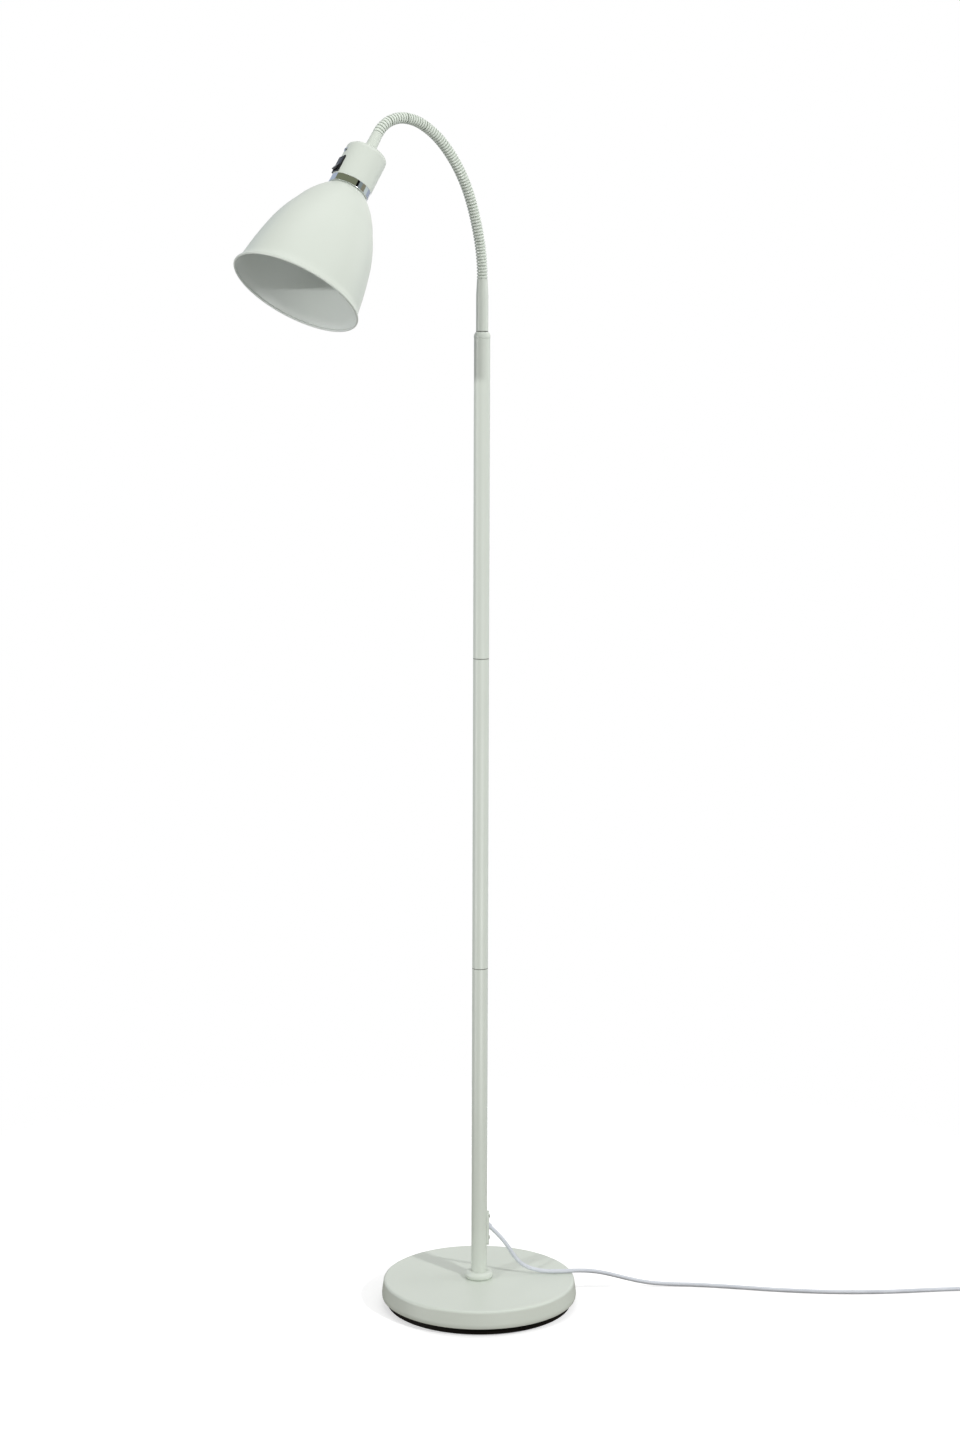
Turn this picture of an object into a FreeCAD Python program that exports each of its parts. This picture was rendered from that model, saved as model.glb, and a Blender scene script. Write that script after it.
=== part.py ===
import FreeCAD, Part
import math
import os

import Sketcher
from FreeCAD import Placement, Rotation, Vector

# Gooseneck reading floor lamp, in millimetres.
# The origin is the centre of the base's foot face, +Z is up, and the gooseneck bends in the XZ plane with the
# head on the -X side. The head's own pieces are drawn along local +Z, which runs from the gooseneck to the
# shade's mouth, with local +X on the outer side of the bend.

DOCUMENT = FreeCAD.newDocument("ReadingLamp")

SIZES = {
    # base
    "foot_inset": 14.9,
    "foot_height": 2,
    "cover_inset": 9.9,
    "cover_wall": 2,
    "cover_edge_radius": 1.5,
    "cover_rim_top": 10.2,
    "shell_top": 32,
    "shell_bottom": 10.5,
    "shell_wall": 1.5,
    "shell_radius": 118.9,
    "shell_waist_height": 14,
    "shell_shoulder_inset": 2.5,
    "shell_flat_inset": 7.4,
    "shell_shoulder_drop": 5,
    "shell_shoulder_ease": 0.4,
    "shell_hem_inset": 0.6,
    "ballast_inset": 12.9,
    "ballast_edge_radius": 2,
    "ballast_fillet": 3,
    "ballast_height": 17,
    "ballast_boss_radius": 24,
    "ballast_recess_radius": 13.5,
    "ballast_recess_depth": 7.6,
    "nipple_floor_gap": 0.8,
    "nipple_top_gap": 1,
    "collar_radius": 16.8,
    "collar_height": 9,
    # pole
    "tube_radius": 9.5,
    "tube_wall": 1.2,
    "lower_tube_length": 388,
    "middle_tube_length": 375,
    "upper_tube_length": 375,
    "bush_length": 18,
    "thread_radius": 5,
    "cable_bore_radius": 3.4,
    "joint_nipple_length": 30,
    "nut_across_flats": 14,
    "nut_height": 5.5,
    "washer_radius": 10,
    "washer_height": 1.6,
    "reducer_height": 7,
    "reducer_lip": 0.15,
    "cable_end_gap": 1.5,
    # clearances
    "fit": 0.05,
    "slack": 0.1,
    "running_gap": 0.2,
    "ball_gap": 0.3,
    # lower ferrule and gooseneck
    "ferrule_radius": 7.15,
    "ferrule_straight": 42,
    "ferrule_taper": 19,
    "ferrule_tip_radius": 6.15,
    "spigot_length": 32,
    "neck_radius": 6.3,
    "groove_radius": 5.5,
    "core_radius": 5.2,
    "rib_pitch": 3.6,
    "rib_crest_share": 0.5,
    "joint_half_gap": 1.4,
    "ball_latitude": 27,
    "cable_reach": 1.5,
    "cable_lead": 3,
    "cable_joint_gap": 0.3,
    "tail_radius": 5,
    "tail_length": 12.6,
    "neck_ribs_1": 12,
    "neck_ribs_2": 12,
    "neck_ribs_3": 11,
    "neck_ribs_4": 11,
    "neck_ribs_5": 10,
    "neck_ribs_6": 8,
    "neck_ribs_7": 7,
    "neck_ribs_8": 6,
    "neck_bend_1": 12.5,
    "neck_bend_2": 8,
    "neck_bend_3": 13.5,
    "neck_bend_4": 14,
    "neck_bend_5": 18,
    "neck_bend_6": 22,
    "neck_bend_7": 28,
    "neck_bend_8": 30,
    # head
    "head_ferrule_length": 25.7,
    "head_ferrule_tip_radius": 6.1,
    "head_ferrule_foot_radius": 6.8,
    "shank_length": 12,
    "cup_radius": 24,
    "cup_length": 44.2,
    "cup_wall": 1.8,
    "cup_edge_radius": 5,
    "ring_height": 8.8,
    "ring_wall": 1.2,
    "ring_lip_height": 2,
    "ring_edge_radius": 1,
    "bracket_width": 12,
    "bracket_disc_gap": 0.3,
    "housing_screw_reach": 4,
    "housing_screw_bevel": 0.8,
    "housing_screw_head_height": 1.3,
    "bracket_sheet": 1.5,
    "bracket_leg_offset": 19,
    "bracket_tab_length": 14,
    "bracket_tab_gap": 0.9,
    "bracket_corner": 4,
    "holder_radius": 14,
    "holder_cap_length": 12,
    "holder_body_length": 30,
    "holder_shoulder_radius": 17,
    "holder_floor": 3,
    "holder_wall": 2,
    "holder_edge_radius": 2,
    "sleeve_seat": 1,
    "contact_height": 1.6,
    "contact_radius": 2.2,
    "bulb_tip_radius": 3.2,
    "bulb_tip_length": 1.2,
    "bulb_insulator_length": 3.6,
    "holder_shoulder_height": 2.4,
    "socket_radius": 7.6,
    "socket_depth": 24,
    "shell_sheet": 0.5,
    "holder_nipple_length": 16,
    "holder_nipple_reach": 11,
    "shade_neck_radius": 21.3,
    "shade_sheet": 0.8,
    "shade_length": 134.2,
    "shade_shoulder_radius": 47.2,
    "shade_shoulder_depth": 36,
    "shade_belly_radius": 63.6,
    "shade_belly_depth": 81,
    "shade_skirt_radius": 70.6,
    "shade_skirt_depth": 122,
    "shade_mouth_radius": 74,
    "shade_shoulder_bow": 46,
    "shade_belly_bow": 150,
    "shade_skirt_bow": 420,
    "shade_flare_bow": 22,
    "rim_bead_radius": 1,
    "bulb_length": 78,
    "bulb_radius": 22.5,
    "bulb_cap_radius": 6.7,
    "bulb_cap_length": 25,
    "bulb_throat_radius": 6.2,
    # switch
    "switch_angle": 16,
    "switch_centre": 32,
    "switch_flange_length": 21,
    "switch_flange_width": 15,
    "switch_flange_height": 2.4,
    "switch_face": 24.5,
    "switch_body_length": 20,
    "switch_body_width": 12.8,
    "switch_body_depth": 14,
    "rocker_length": 16,
    "rocker_width": 10.4,
    "rocker_slope": 10,
    "rocker_end_gap": 1,
    "rocker_side_gap": 0.2,
    "rocker_pocket_depth": 8.5,
    "rocker_edge": 2.2,
    "rocker_keel": 3.6,
    "terminal_length": 4,
    "rocker_pivot_depth": 3.4,
    "rocker_pin_radius": 1.2,
    "housing_screw_height": 12.5,
    "housing_screw_radius": 1.5,
    "housing_screw_head": 2.8,
    # cord entry
    "cord_radius": 2.5,
    "cord_side_angle": -33,
    "cord_way_height": 109,
    "cord_way_slope": 45,
    "cord_exit_radius": 15,
    "cord_inner_bend": 12,
    "entry_plate_wall": 2.6,
    "entry_plate_bottom": 73,
    "entry_plate_top": 116,
    "entry_plate_width": 11,
    "entry_screw_low": 82.5,
    "entry_screw_high": 109.5,
    "entry_screw_radius": 1.5,
    "entry_screw_head": 3,
    "cord_bush_wall": 1,
    # cord coil and plug
    "coil_radius": 37,
    "coil_pitch": 5.6,
    "coil_step": 5.6,
    "coil_turns_in": 3.5,
    "coil_turns_out": 3.75,
    "cord_floor_height": 2.7,
    "cord_first_run": 13.5,
    "cord_last_run": 30,
    "relief_length": 28,
    "relief_radius": 5,
    "plug_length": 36,
    "plug_width": 26,
    "plug_height": 15.6,
    "plug_corner": 7,
    "pin_radius": 2,
    "pin_length": 19,
    "pin_spacing": 19,
    "wire_radius": 0.9,
}

COUNT_OF_BOWS = 8
# how far below its seat a screw's dome is centred, as a share of the head's radius
DOME_SINK = 0.75


class Size:
    """A length with the sheet expression that gives it."""

    def __init__(self, value, text):
        self.value = value
        self.text = text

    def joined(self, other, sign, value, swapped=False):
        mine, theirs = self.text, str(getattr(other, "text", other))
        if swapped:
            mine, theirs = theirs, mine
        return Size(value, f"({mine} {sign} {theirs})")

    def __add__(self, other):
        return self.joined(other, "+", self.value + number(other))

    def __radd__(self, other):
        return self.joined(other, "+", number(other) + self.value, swapped=True)

    def __sub__(self, other):
        return self.joined(other, "-", self.value - number(other))

    def __rsub__(self, other):
        return self.joined(other, "-", number(other) - self.value, swapped=True)

    def __mul__(self, other):
        return self.joined(other, "*", self.value * number(other))

    def __rmul__(self, other):
        return self.joined(other, "*", number(other) * self.value, swapped=True)

    def __truediv__(self, other):
        return self.joined(other, "/", self.value / number(other))

    def __float__(self):
        return float(self.value)


def number(item):
    return float(getattr(item, "value", item))


class Sheet:
    """The driving dimensions, one cell each, read back as sizes."""

    def __init__(self, values):
        self.cells = DOCUMENT.addObject("Spreadsheet::Sheet", "Sizes")
        for row, (alias, value) in enumerate(values.items(), start=1):
            self.cells.set(f"A{row}", alias)
            self.cells.set(f"B{row}", str(value))
            self.cells.setAlias(f"B{row}", alias)
        DOCUMENT.recompute()

    def __getattr__(self, alias):
        return Size(float(self.cells.get(alias)), "Sizes." + alias)


S = Sheet(SIZES)
NODES = []
ON_AXIS = Size(0.0, "0")


def keep(feature, label):
    """Gives a finished sub-part its label and lists it for export."""
    feature.Label = label
    NODES.append(feature)
    return feature


def shaped(label, shape, placement=None):
    """A sub-part whose shape is worked out here from the sheet's sizes."""
    feature = DOCUMENT.addObject("Part::Feature", "Shaped")
    feature.Shape = shape
    if placement is not None:
        feature.Placement = placement
    return keep(feature, label)


def cylinder(radius, height, bottom=ON_AXIS):
    """An upright cylinder bound to the sheet."""
    feature = DOCUMENT.addObject("Part::Cylinder", "Cylinder")
    feature.setExpression("Radius", number_text(radius))
    feature.setExpression("Height", number_text(height))
    lift(feature, bottom)
    return feature


def lift(feature, bottom):
    """Binds how high a primitive stands, unless it gets a placement of its own."""
    if bottom is not ON_AXIS:
        feature.setExpression(".Placement.Base.z", number_text(bottom))


def prism(across_flats, height, bottom=ON_AXIS):
    """An upright hexagonal prism bound to the sheet."""
    feature = DOCUMENT.addObject("Part::Prism", "Prism")
    feature.Polygon = 6
    feature.setExpression("Circumradius", number_text(across_flats / (2 * math.cos(math.pi / 6))))
    feature.setExpression("Height", number_text(height))
    lift(feature, bottom)
    return feature


def number_text(item):
    return str(getattr(item, "text", item))


def cut(base, tool):
    feature = DOCUMENT.addObject("Part::Cut", "Cut")
    feature.Base = base
    feature.Tool = tool
    return feature


def fused(*pieces):
    feature = DOCUMENT.addObject("Part::MultiFuse", "Fuse")
    feature.Shapes = list(pieces)
    return feature


def grouped(*pieces):
    """Separate solids that share one node."""
    feature = DOCUMENT.addObject("Part::Compound", "Group")
    feature.Links = list(pieces)
    return feature


def ring(outer, inner, height, bottom=ON_AXIS):
    """A tube, bush, washer or sleeve: a cylinder with a bore right through."""
    bore = cylinder(inner, height + 2, bottom - 1)
    return cut(cylinder(outer, height, bottom), bore)


def nut(across_flats, bore, height, bottom=ON_AXIS):
    return cut(prism(across_flats, height, bottom), cylinder(bore, height + 2, bottom - 1))


def placed(feature, placement):
    feature.Placement = placement
    return feature


def origin_plane(body, role):
    return next(item for item in body.Origin.OriginFeatures if item.Role == role)


def arc_between(first, last, radius, left):
    """The short arc from first to last; left puts its centre to the left of the way."""
    middle = (first + last) / 2
    way = last - first
    half = way.Length / 2
    reach = math.sqrt(max(radius * radius - half * half, 0.0))
    normal = Vector(-way.y, way.x, 0).normalize() * (reach if left else -reach)
    centre = middle + normal
    begin, end = (first, last) if left else (last, first)
    start_angle = math.atan2(begin.y - centre.y, begin.x - centre.x)
    end_angle = math.atan2(end.y - centre.y, end.x - centre.x)
    return Part.ArcOfCircle(Part.Circle(centre, Vector(0, 0, 1), radius), start_angle, end_angle)


def outline_sketch(body, corners, plane="XZ_Plane"):
    """A closed outline on one of the body's own planes, every corner held by sheet expressions.

    A corner is (across, up), or (across, up, radius, left) where an arc of that radius runs on to the next corner.
    """
    sketch = body.newObject("Sketcher::SketchObject", "Outline")
    sketch.AttachmentSupport = [(origin_plane(body, plane), "")]
    sketch.MapMode = "FlatFace"
    points = [Vector(number(corner[0]), number(corner[1]), 0) for corner in corners]
    count = len(corners)
    starts = []
    for index, corner in enumerate(corners):
        here, following = points[index], points[(index + 1) % count]
        if len(corner) == 2:
            sketch.addGeometry(Part.LineSegment(here, following))
            starts.append((1, 2))
            continue
        sketch.addGeometry(arc_between(here, following, number(corner[2]), corner[3]))
        starts.append((1, 2) if corner[3] else (2, 1))
    for index, corner in enumerate(corners):
        start, end = starts[index]
        following = (index + 1) % count
        sketch.addConstraint(Sketcher.Constraint("Coincident", index, end, following, starts[following][0]))
        if abs(points[index].x) < 1e-9:
            sketch.addConstraint(Sketcher.Constraint("PointOnObject", index, start, -2))
        else:
            hold(sketch, "DistanceX", index, start, points[index].x, corner[0])
        if abs(points[index].y) < 1e-9:
            sketch.addConstraint(Sketcher.Constraint("PointOnObject", index, start, -1))
        else:
            hold(sketch, "DistanceY", index, start, points[index].y, corner[1])
        if len(corner) > 2:
            at = sketch.addConstraint(Sketcher.Constraint("Radius", index, number(corner[2])))
            sketch.setExpression(f"Constraints[{at}]", number_text(corner[2]))
    return sketch


def hold(sketch, kind, index, point, value, size):
    at = sketch.addConstraint(Sketcher.Constraint(kind, -1, 1, index, point, value))
    if hasattr(size, "text"):
        sketch.setExpression(f"Constraints[{at}]", size.text)


def revolved(corners, placement=None):
    """A turned or spun piece: an outline of (radius, height) corners swept round the body's Z axis."""
    body = DOCUMENT.addObject("PartDesign::Body", "Turned")
    sketch = outline_sketch(body, corners)
    turn = body.newObject("PartDesign::Revolution", "Turn")
    turn.Profile = sketch
    turn.ReferenceAxis = (sketch, ["V_Axis"])
    turn.Angle = 360
    if placement is not None:
        body.Placement = placement
    return body


def padded(corners, width, plane="XZ_Plane", placement=None):
    """A flat outline given a thickness, half to each side of its plane."""
    body = DOCUMENT.addObject("PartDesign::Body", "Block")
    sketch = outline_sketch(body, corners, plane)
    pad = body.newObject("PartDesign::Pad", "Pad")
    pad.Profile = sketch
    pad.Midplane = True
    pad.setExpression("Length", number_text(width))
    if placement is not None:
        body.Placement = placement
    return body


# ---------------------------------------------------------------- levels up the pole

FOOT_RADIUS = S.shell_radius - S.foot_inset
COVER_RADIUS = S.shell_radius - S.cover_inset
SHOULDER_RADIUS = S.shell_radius - S.shell_shoulder_inset
FLAT_RADIUS = S.shell_radius - S.shell_flat_inset
BALLAST_RADIUS = S.shell_radius - S.ballast_inset
FLOOR_OF_BALLAST = S.foot_height + S.cover_wall
SHELL_UNDERSIDE = S.shell_top - S.shell_wall
LOWER_SEAM = S.shell_top + S.lower_tube_length
UPPER_SEAM = LOWER_SEAM + S.middle_tube_length
POLE_TOP = UPPER_SEAM + S.upper_tube_length
SWIVEL_FACE = POLE_TOP + S.reducer_height
FERRULE_FOOT = SWIVEL_FACE + S.running_gap
NECK_FOOT = FERRULE_FOOT + S.ferrule_straight + S.ferrule_taper
BUSH_RADIUS = S.tube_radius - S.tube_wall - S.fit
BORE_OVER_THREAD = S.thread_radius + S.fit
POLE_CABLE_TOP = SWIVEL_FACE - S.spigot_length - S.cable_end_gap


def build_base():
    """Foot pad, cover dish, cast ballast with its boss, pressed shell, collar and the stud that ties them."""
    keep(cylinder(FOOT_RADIUS, S.foot_height), "foot_pad")
    dish_floor = S.foot_height
    dish_inside = S.foot_height + S.cover_wall
    keep(
        revolved(
            [
                (ON_AXIS, dish_floor),
                (COVER_RADIUS - S.cover_edge_radius, dish_floor, S.cover_edge_radius, True),
                (COVER_RADIUS, dish_floor + S.cover_edge_radius),
                (COVER_RADIUS, S.cover_rim_top),
                (COVER_RADIUS - S.cover_wall, S.cover_rim_top),
                (COVER_RADIUS - S.cover_wall, dish_inside),
                (ON_AXIS, dish_inside),
            ]
        ),
        "bottom_cover",
    )
    recess_top = FLOOR_OF_BALLAST + S.ballast_recess_depth
    plate_top = FLOOR_OF_BALLAST + S.ballast_height
    keep(
        revolved(
            [
                (S.ballast_recess_radius, FLOOR_OF_BALLAST),
                (BALLAST_RADIUS, FLOOR_OF_BALLAST),
                (BALLAST_RADIUS, plate_top - S.ballast_edge_radius, S.ballast_edge_radius, True),
                (BALLAST_RADIUS - S.ballast_edge_radius, plate_top),
                (S.ballast_boss_radius + S.ballast_fillet, plate_top, S.ballast_fillet, False),
                (S.ballast_boss_radius, plate_top + S.ballast_fillet),
                (S.ballast_boss_radius, SHELL_UNDERSIDE),
                (BORE_OVER_THREAD, SHELL_UNDERSIDE),
                (BORE_OVER_THREAD, recess_top),
                (S.ballast_recess_radius, recess_top),
            ]
        ),
        "ballast_disc",
    )
    shoulder = S.shell_top - S.shell_shoulder_drop
    inner_flat = FLAT_RADIUS - S.shell_wall / 3
    shoulder_radius = S.shell_shoulder_drop + S.shell_shoulder_ease
    keep(
        revolved(
            [
                (BORE_OVER_THREAD, SHELL_UNDERSIDE),
                (inner_flat, SHELL_UNDERSIDE, shoulder_radius - S.shell_wall, False),
                (SHOULDER_RADIUS - S.shell_wall, shoulder),
                (S.shell_radius - S.shell_wall, S.shell_waist_height),
                (S.shell_radius - S.shell_wall - S.shell_hem_inset, S.shell_bottom),
                (S.shell_radius - S.shell_hem_inset, S.shell_bottom),
                (S.shell_radius, S.shell_waist_height),
                (SHOULDER_RADIUS, shoulder, shoulder_radius, True),
                (FLAT_RADIUS, S.shell_top),
                (BORE_OVER_THREAD, S.shell_top),
            ]
        ),
        "base_shell",
    )
    collar_bore = S.tube_radius + S.slack
    crown = S.collar_height / 2
    keep(
        revolved(
            [
                (collar_bore, S.shell_top),
                (S.collar_radius - crown * 0.55, S.shell_top, crown, True),
                (S.collar_radius, S.shell_top + crown, crown, True),
                (S.collar_radius - crown * 0.75, S.shell_top + S.collar_height),
                (collar_bore, S.shell_top + S.collar_height),
            ]
        ),
        "base_collar",
    )
    nipple_foot = FLOOR_OF_BALLAST + S.nipple_floor_gap
    nipple_length = S.shell_top + S.bush_length - nipple_foot - S.nipple_top_gap
    keep(ring(S.thread_radius, S.cable_bore_radius, nipple_length, nipple_foot), "base_nipple")
    washer_foot = recess_top - S.washer_height
    keep(ring(S.washer_radius, BORE_OVER_THREAD, S.washer_height, washer_foot), "base_washer")
    nut_foot = washer_foot - S.nut_height
    keep(nut(S.nut_across_flats, BORE_OVER_THREAD, S.nut_height, nut_foot), "base_nut")


def cord_way():
    """Where the cord's bore crosses the tube: its line drops outwards from the pole's axis."""
    slope = math.radians(number(S.cord_way_slope))
    side = math.radians(number(S.cord_side_angle))
    outward = Vector(math.cos(side), math.sin(side), 0)
    direction = outward * math.cos(slope) + Vector(0, 0, -math.sin(slope))
    return Vector(0, 0, number(S.cord_way_height)), direction, outward


def cord_bore(radius, inner, outer):
    """A round bar along the cord's way, between two distances from the pole's axis."""
    start, direction, _ = cord_way()
    scale = 1 / math.cos(math.radians(number(S.cord_way_slope)))
    foot = start + direction * (inner * scale)
    return Part.makeCylinder(radius, (outer - inner) * scale, foot, direction)


def build_pole():
    """Three tubes with a bush at each joint, hollow nipples between them and the reducer on top."""
    bore = S.tube_radius - S.tube_wall
    tube = ring(S.tube_radius, bore, S.lower_tube_length, S.shell_top)
    DOCUMENT.recompute()
    way = cord_bore(number(S.cord_radius + S.cord_bush_wall + S.fit), 0, number(S.tube_radius) + 6)
    screws = entry_screw_holes(number(S.entry_screw_radius + S.fit))
    shaped("lower_tube", tube.Shape.cut(way).cut(screws))
    keep(ring(S.tube_radius, bore, S.middle_tube_length, LOWER_SEAM), "middle_tube")
    keep(ring(S.tube_radius, bore, S.upper_tube_length, UPPER_SEAM), "upper_tube")
    feet = [
        S.shell_top,
        LOWER_SEAM - S.bush_length,
        LOWER_SEAM,
        UPPER_SEAM - S.bush_length,
        UPPER_SEAM,
    ]
    bushes = [ring(BUSH_RADIUS, BORE_OVER_THREAD, S.bush_length, foot) for foot in feet]
    keep(grouped(*bushes), "tube_bushes")
    half = S.joint_nipple_length / 2
    nipples = [
        ring(S.thread_radius, S.cable_bore_radius, S.joint_nipple_length, seam - half)
        for seam in (LOWER_SEAM, UPPER_SEAM)
    ]
    keep(grouped(*nipples), "joint_nipples")
    tip = S.ferrule_radius + S.reducer_lip
    keep(
        revolved(
            [
                (BORE_OVER_THREAD, POLE_TOP - S.bush_length),
                (BUSH_RADIUS, POLE_TOP - S.bush_length),
                (BUSH_RADIUS, POLE_TOP),
                (S.tube_radius, POLE_TOP, S.reducer_height, True),
                (tip, SWIVEL_FACE),
                (BORE_OVER_THREAD, SWIVEL_FACE),
            ]
        ),
        "top_reducer",
    )
    route = [Vector(0, 0, number(POLE_CABLE_TOP))] + cable_turn()
    shaped("pole_cable", tube_along(route, number(S.cord_radius)))


def cable_turn():
    """The inner cable's turn from the pole's axis down through the cord bush, to the cord's exit."""
    start, direction, _ = cord_way()
    scale = 1 / math.cos(math.radians(number(S.cord_way_slope)))
    return [start, start + direction * (number(S.cord_exit_radius) * scale)]


def cord_exit():
    return cable_turn()[1]


def entry_screw_holes(radius):
    """Two bars pointing out of the pole at the entry plate's screws."""
    _, _, outward = cord_way()
    bore = number(S.tube_radius - S.tube_wall) - 3
    bars = []
    for height in (S.entry_screw_low, S.entry_screw_high):
        foot = Vector(0, 0, number(height)) + outward * bore
        bars.append(Part.makeCylinder(radius, number(S.entry_plate_wall) + 5, foot, outward))
    return Part.makeCompound(bars)


def build_cord_entry():
    """The saddle plate low on the pole, its two screws and the rubber bush round the cord."""
    _, _, outward = cord_way()
    inner = number(S.tube_radius + S.slack)
    outer = number(S.tube_radius + S.entry_plate_wall)
    low, high = number(S.entry_plate_bottom), number(S.entry_plate_top)
    turn = Rotation(Vector(0, 0, 1), number(S.cord_side_angle))
    sleeve = Part.makeCylinder(outer, high - low, Vector(0, 0, low))
    sleeve = sleeve.cut(Part.makeCylinder(inner, high - low, Vector(0, 0, low)))
    width = number(S.entry_plate_width)
    half = width / 2
    slab = Part.makeBox(outer * 2, width, high - low - width, Vector(0, -half, low + half))
    for height in (low + half, high - half):
        slab = slab.fuse(Part.makeCylinder(half, outer * 2, Vector(0, 0, height), Vector(1, 0, 0)))
    plate = sleeve.common(slab.transformGeometry(Placement(Vector(), turn).toMatrix()))
    way = cord_bore(number(S.cord_radius + S.cord_bush_wall + S.fit), 0, outer + 6)
    plate = plate.cut(way).cut(entry_screw_holes(number(S.entry_screw_radius + S.fit)))
    shaped("cord_entry_plate", plate)
    collar = cord_bore(number(S.cord_radius + S.cord_bush_wall), inner - 3, number(S.cord_exit_radius) - 1)
    shaped("cord_bush", collar.cut(cord_bore(number(S.cord_radius + S.fit), 0, outer + 12)))
    screws = []
    head_radius = number(S.entry_screw_head)
    shank_foot = number(S.tube_radius - S.tube_wall) - 2
    for height in (S.entry_screw_low, S.entry_screw_high):
        foot = Vector(0, 0, number(height)) + outward * shank_foot
        seat = Vector(0, 0, number(height)) + outward * outer
        dome_centre = seat - outward * (head_radius * DOME_SINK)
        dome_radius = head_radius * math.hypot(1, DOME_SINK)
        edge_latitude = math.degrees(math.atan(DOME_SINK))
        dome = Part.makeSphere(dome_radius, dome_centre, outward, edge_latitude, 90, 360)
        shank = Part.makeCylinder(number(S.entry_screw_radius), outer - shank_foot + 0.5, foot, outward)
        screws.append(shank.fuse(dome))
    shaped("entry_screws", Part.makeCompound(screws))


# ---------------------------------------------------------------- tubes along a route


def tube_along(points, radius, report=None):
    """A round tube of straight runs joined by tangent arcs, each arc as large as its two runs allow."""
    edges = []
    here = points[0]
    radii = []
    for before, corner, after in zip(points, points[1:], points[2:]):
        incoming, outgoing = corner - before, after - corner
        turn = incoming.getAngle(outgoing)
        share = 0.45 * min(incoming.Length, outgoing.Length)
        arc_radius = share / math.tan(turn / 2)
        radii.append(arc_radius)
        enter = corner - Vector(incoming).normalize() * share
        leave = corner + Vector(outgoing).normalize() * share
        inward = ((enter + leave) / 2 - corner).normalize()
        middle = corner + inward * (arc_radius / math.cos(turn / 2) - arc_radius)
        edges.append(Part.LineSegment(here, enter).toShape())
        edges.append(Part.Arc(enter, middle, leave).toShape())
        here = leave
    edges.append(Part.LineSegment(here, points[-1]).toShape())
    path = Part.Wire(edges)
    tube = swept_round(path, radius, points[0], points[1] - points[0])
    if report:
        section = math.pi * radius * radius
        print(report, "length", round(path.Length, 1), "radii", [round(item, 1) for item in radii])
        print(report, "volume / (section x length)", round(tube.Volume / (section * path.Length), 5))
    return tube


def swept_round(path, radius, start, direction):
    profile = Part.Wire([Part.Circle(start, direction, radius).toShape()])
    return path.makePipeShell([profile], True, False)


# ---------------------------------------------------------------- gooseneck


class Bow:
    """One stretch of the gooseneck: an arc of whole ribs in the XZ plane, leaning towards -X as it goes."""

    def __init__(self, foot, heading, length, bend):
        self.foot = foot
        self.heading = heading
        self.length = length
        self.curve = bend / length

    def leaning(self, along):
        return self.heading + self.curve * along

    def direction(self, along):
        lean = self.leaning(along)
        return Vector(-math.sin(lean), 0, math.cos(lean))

    def point(self, along):
        if abs(self.curve) < 1e-6:
            return self.foot + self.direction(0) * along
        lean = self.leaning(along)
        across = (math.cos(lean) - math.cos(self.heading)) / self.curve
        up = (math.sin(lean) - math.sin(self.heading)) / self.curve
        return self.foot + Vector(across, 0, up)

    def frame(self, along):
        turn = Rotation(Vector(0, 1, 0), -math.degrees(self.leaning(along)))
        return Placement(self.point(along), turn)

    def path(self, start, end, lead_in=0.0, lead_out=0.0):
        """The centreline between two distances, with straight lengths before and after it if asked for."""
        first, middle, last = self.point(start), self.point((start + end) / 2), self.point(end)
        edges = [Part.Arc(first, middle, last).toShape()]
        if lead_in:
            edges.insert(0, Part.LineSegment(first - self.direction(start) * lead_in, first).toShape())
        if lead_out:
            edges.append(Part.LineSegment(last, last + self.direction(end) * lead_out).toShape())
        return Part.Wire(edges)

    def tube(self, radius, start, end, lead_in=0.0, lead_out=0.0):
        path = self.path(start, end, lead_in, lead_out)
        foot = self.point(start) - self.direction(start) * lead_in
        return swept_round(path, radius, foot, self.direction(start))


def neck_bows():
    foot, heading = Vector(0, 0, number(NECK_FOOT)), 0.0
    bows = []
    for index in range(1, COUNT_OF_BOWS + 1):
        ribs = number(getattr(S, f"neck_ribs_{index}"))
        bend = math.radians(number(getattr(S, f"neck_bend_{index}")))
        bow = Bow(foot, heading, ribs * number(S.rib_pitch), bend)
        bows.append(bow)
        foot, heading = bow.point(bow.length), heading + bend
    return bows


BOWS = neck_bows()


def ribbed(bow, start, end):
    """The ribs of one stretch, each a ruled loft groove, crest, crest, groove, trimmed at both ends."""
    pitch = number(S.rib_pitch)
    groove, crest = number(S.groove_radius), number(S.neck_radius)
    flank = pitch * (1 - number(S.rib_crest_share)) / 2
    stations = []
    for index in range(round(bow.length / pitch)):
        foot = index * pitch
        stations += [(foot, groove), (foot + flank, crest), (foot + pitch - flank, crest)]
    stations.append((bow.length, groove))
    kept = [(at, radius) for at, radius in stations if start < at < end]
    kept = [(start, crest)] + kept if start > 0 else kept
    kept = kept + [(end, crest)] if end < bow.length else kept
    if start <= 0:
        kept = [(0.0, groove)] + kept
    if end >= bow.length:
        kept = kept + [(bow.length, groove)]
    wires = []
    for at, radius in kept:
        edge = Part.Circle(Vector(), Vector(0, 0, 1), radius).toShape()
        edge.Placement = bow.frame(at)
        wires.append(Part.Wire([edge]))
    return Part.makeLoft(wires, True, True)


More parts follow.
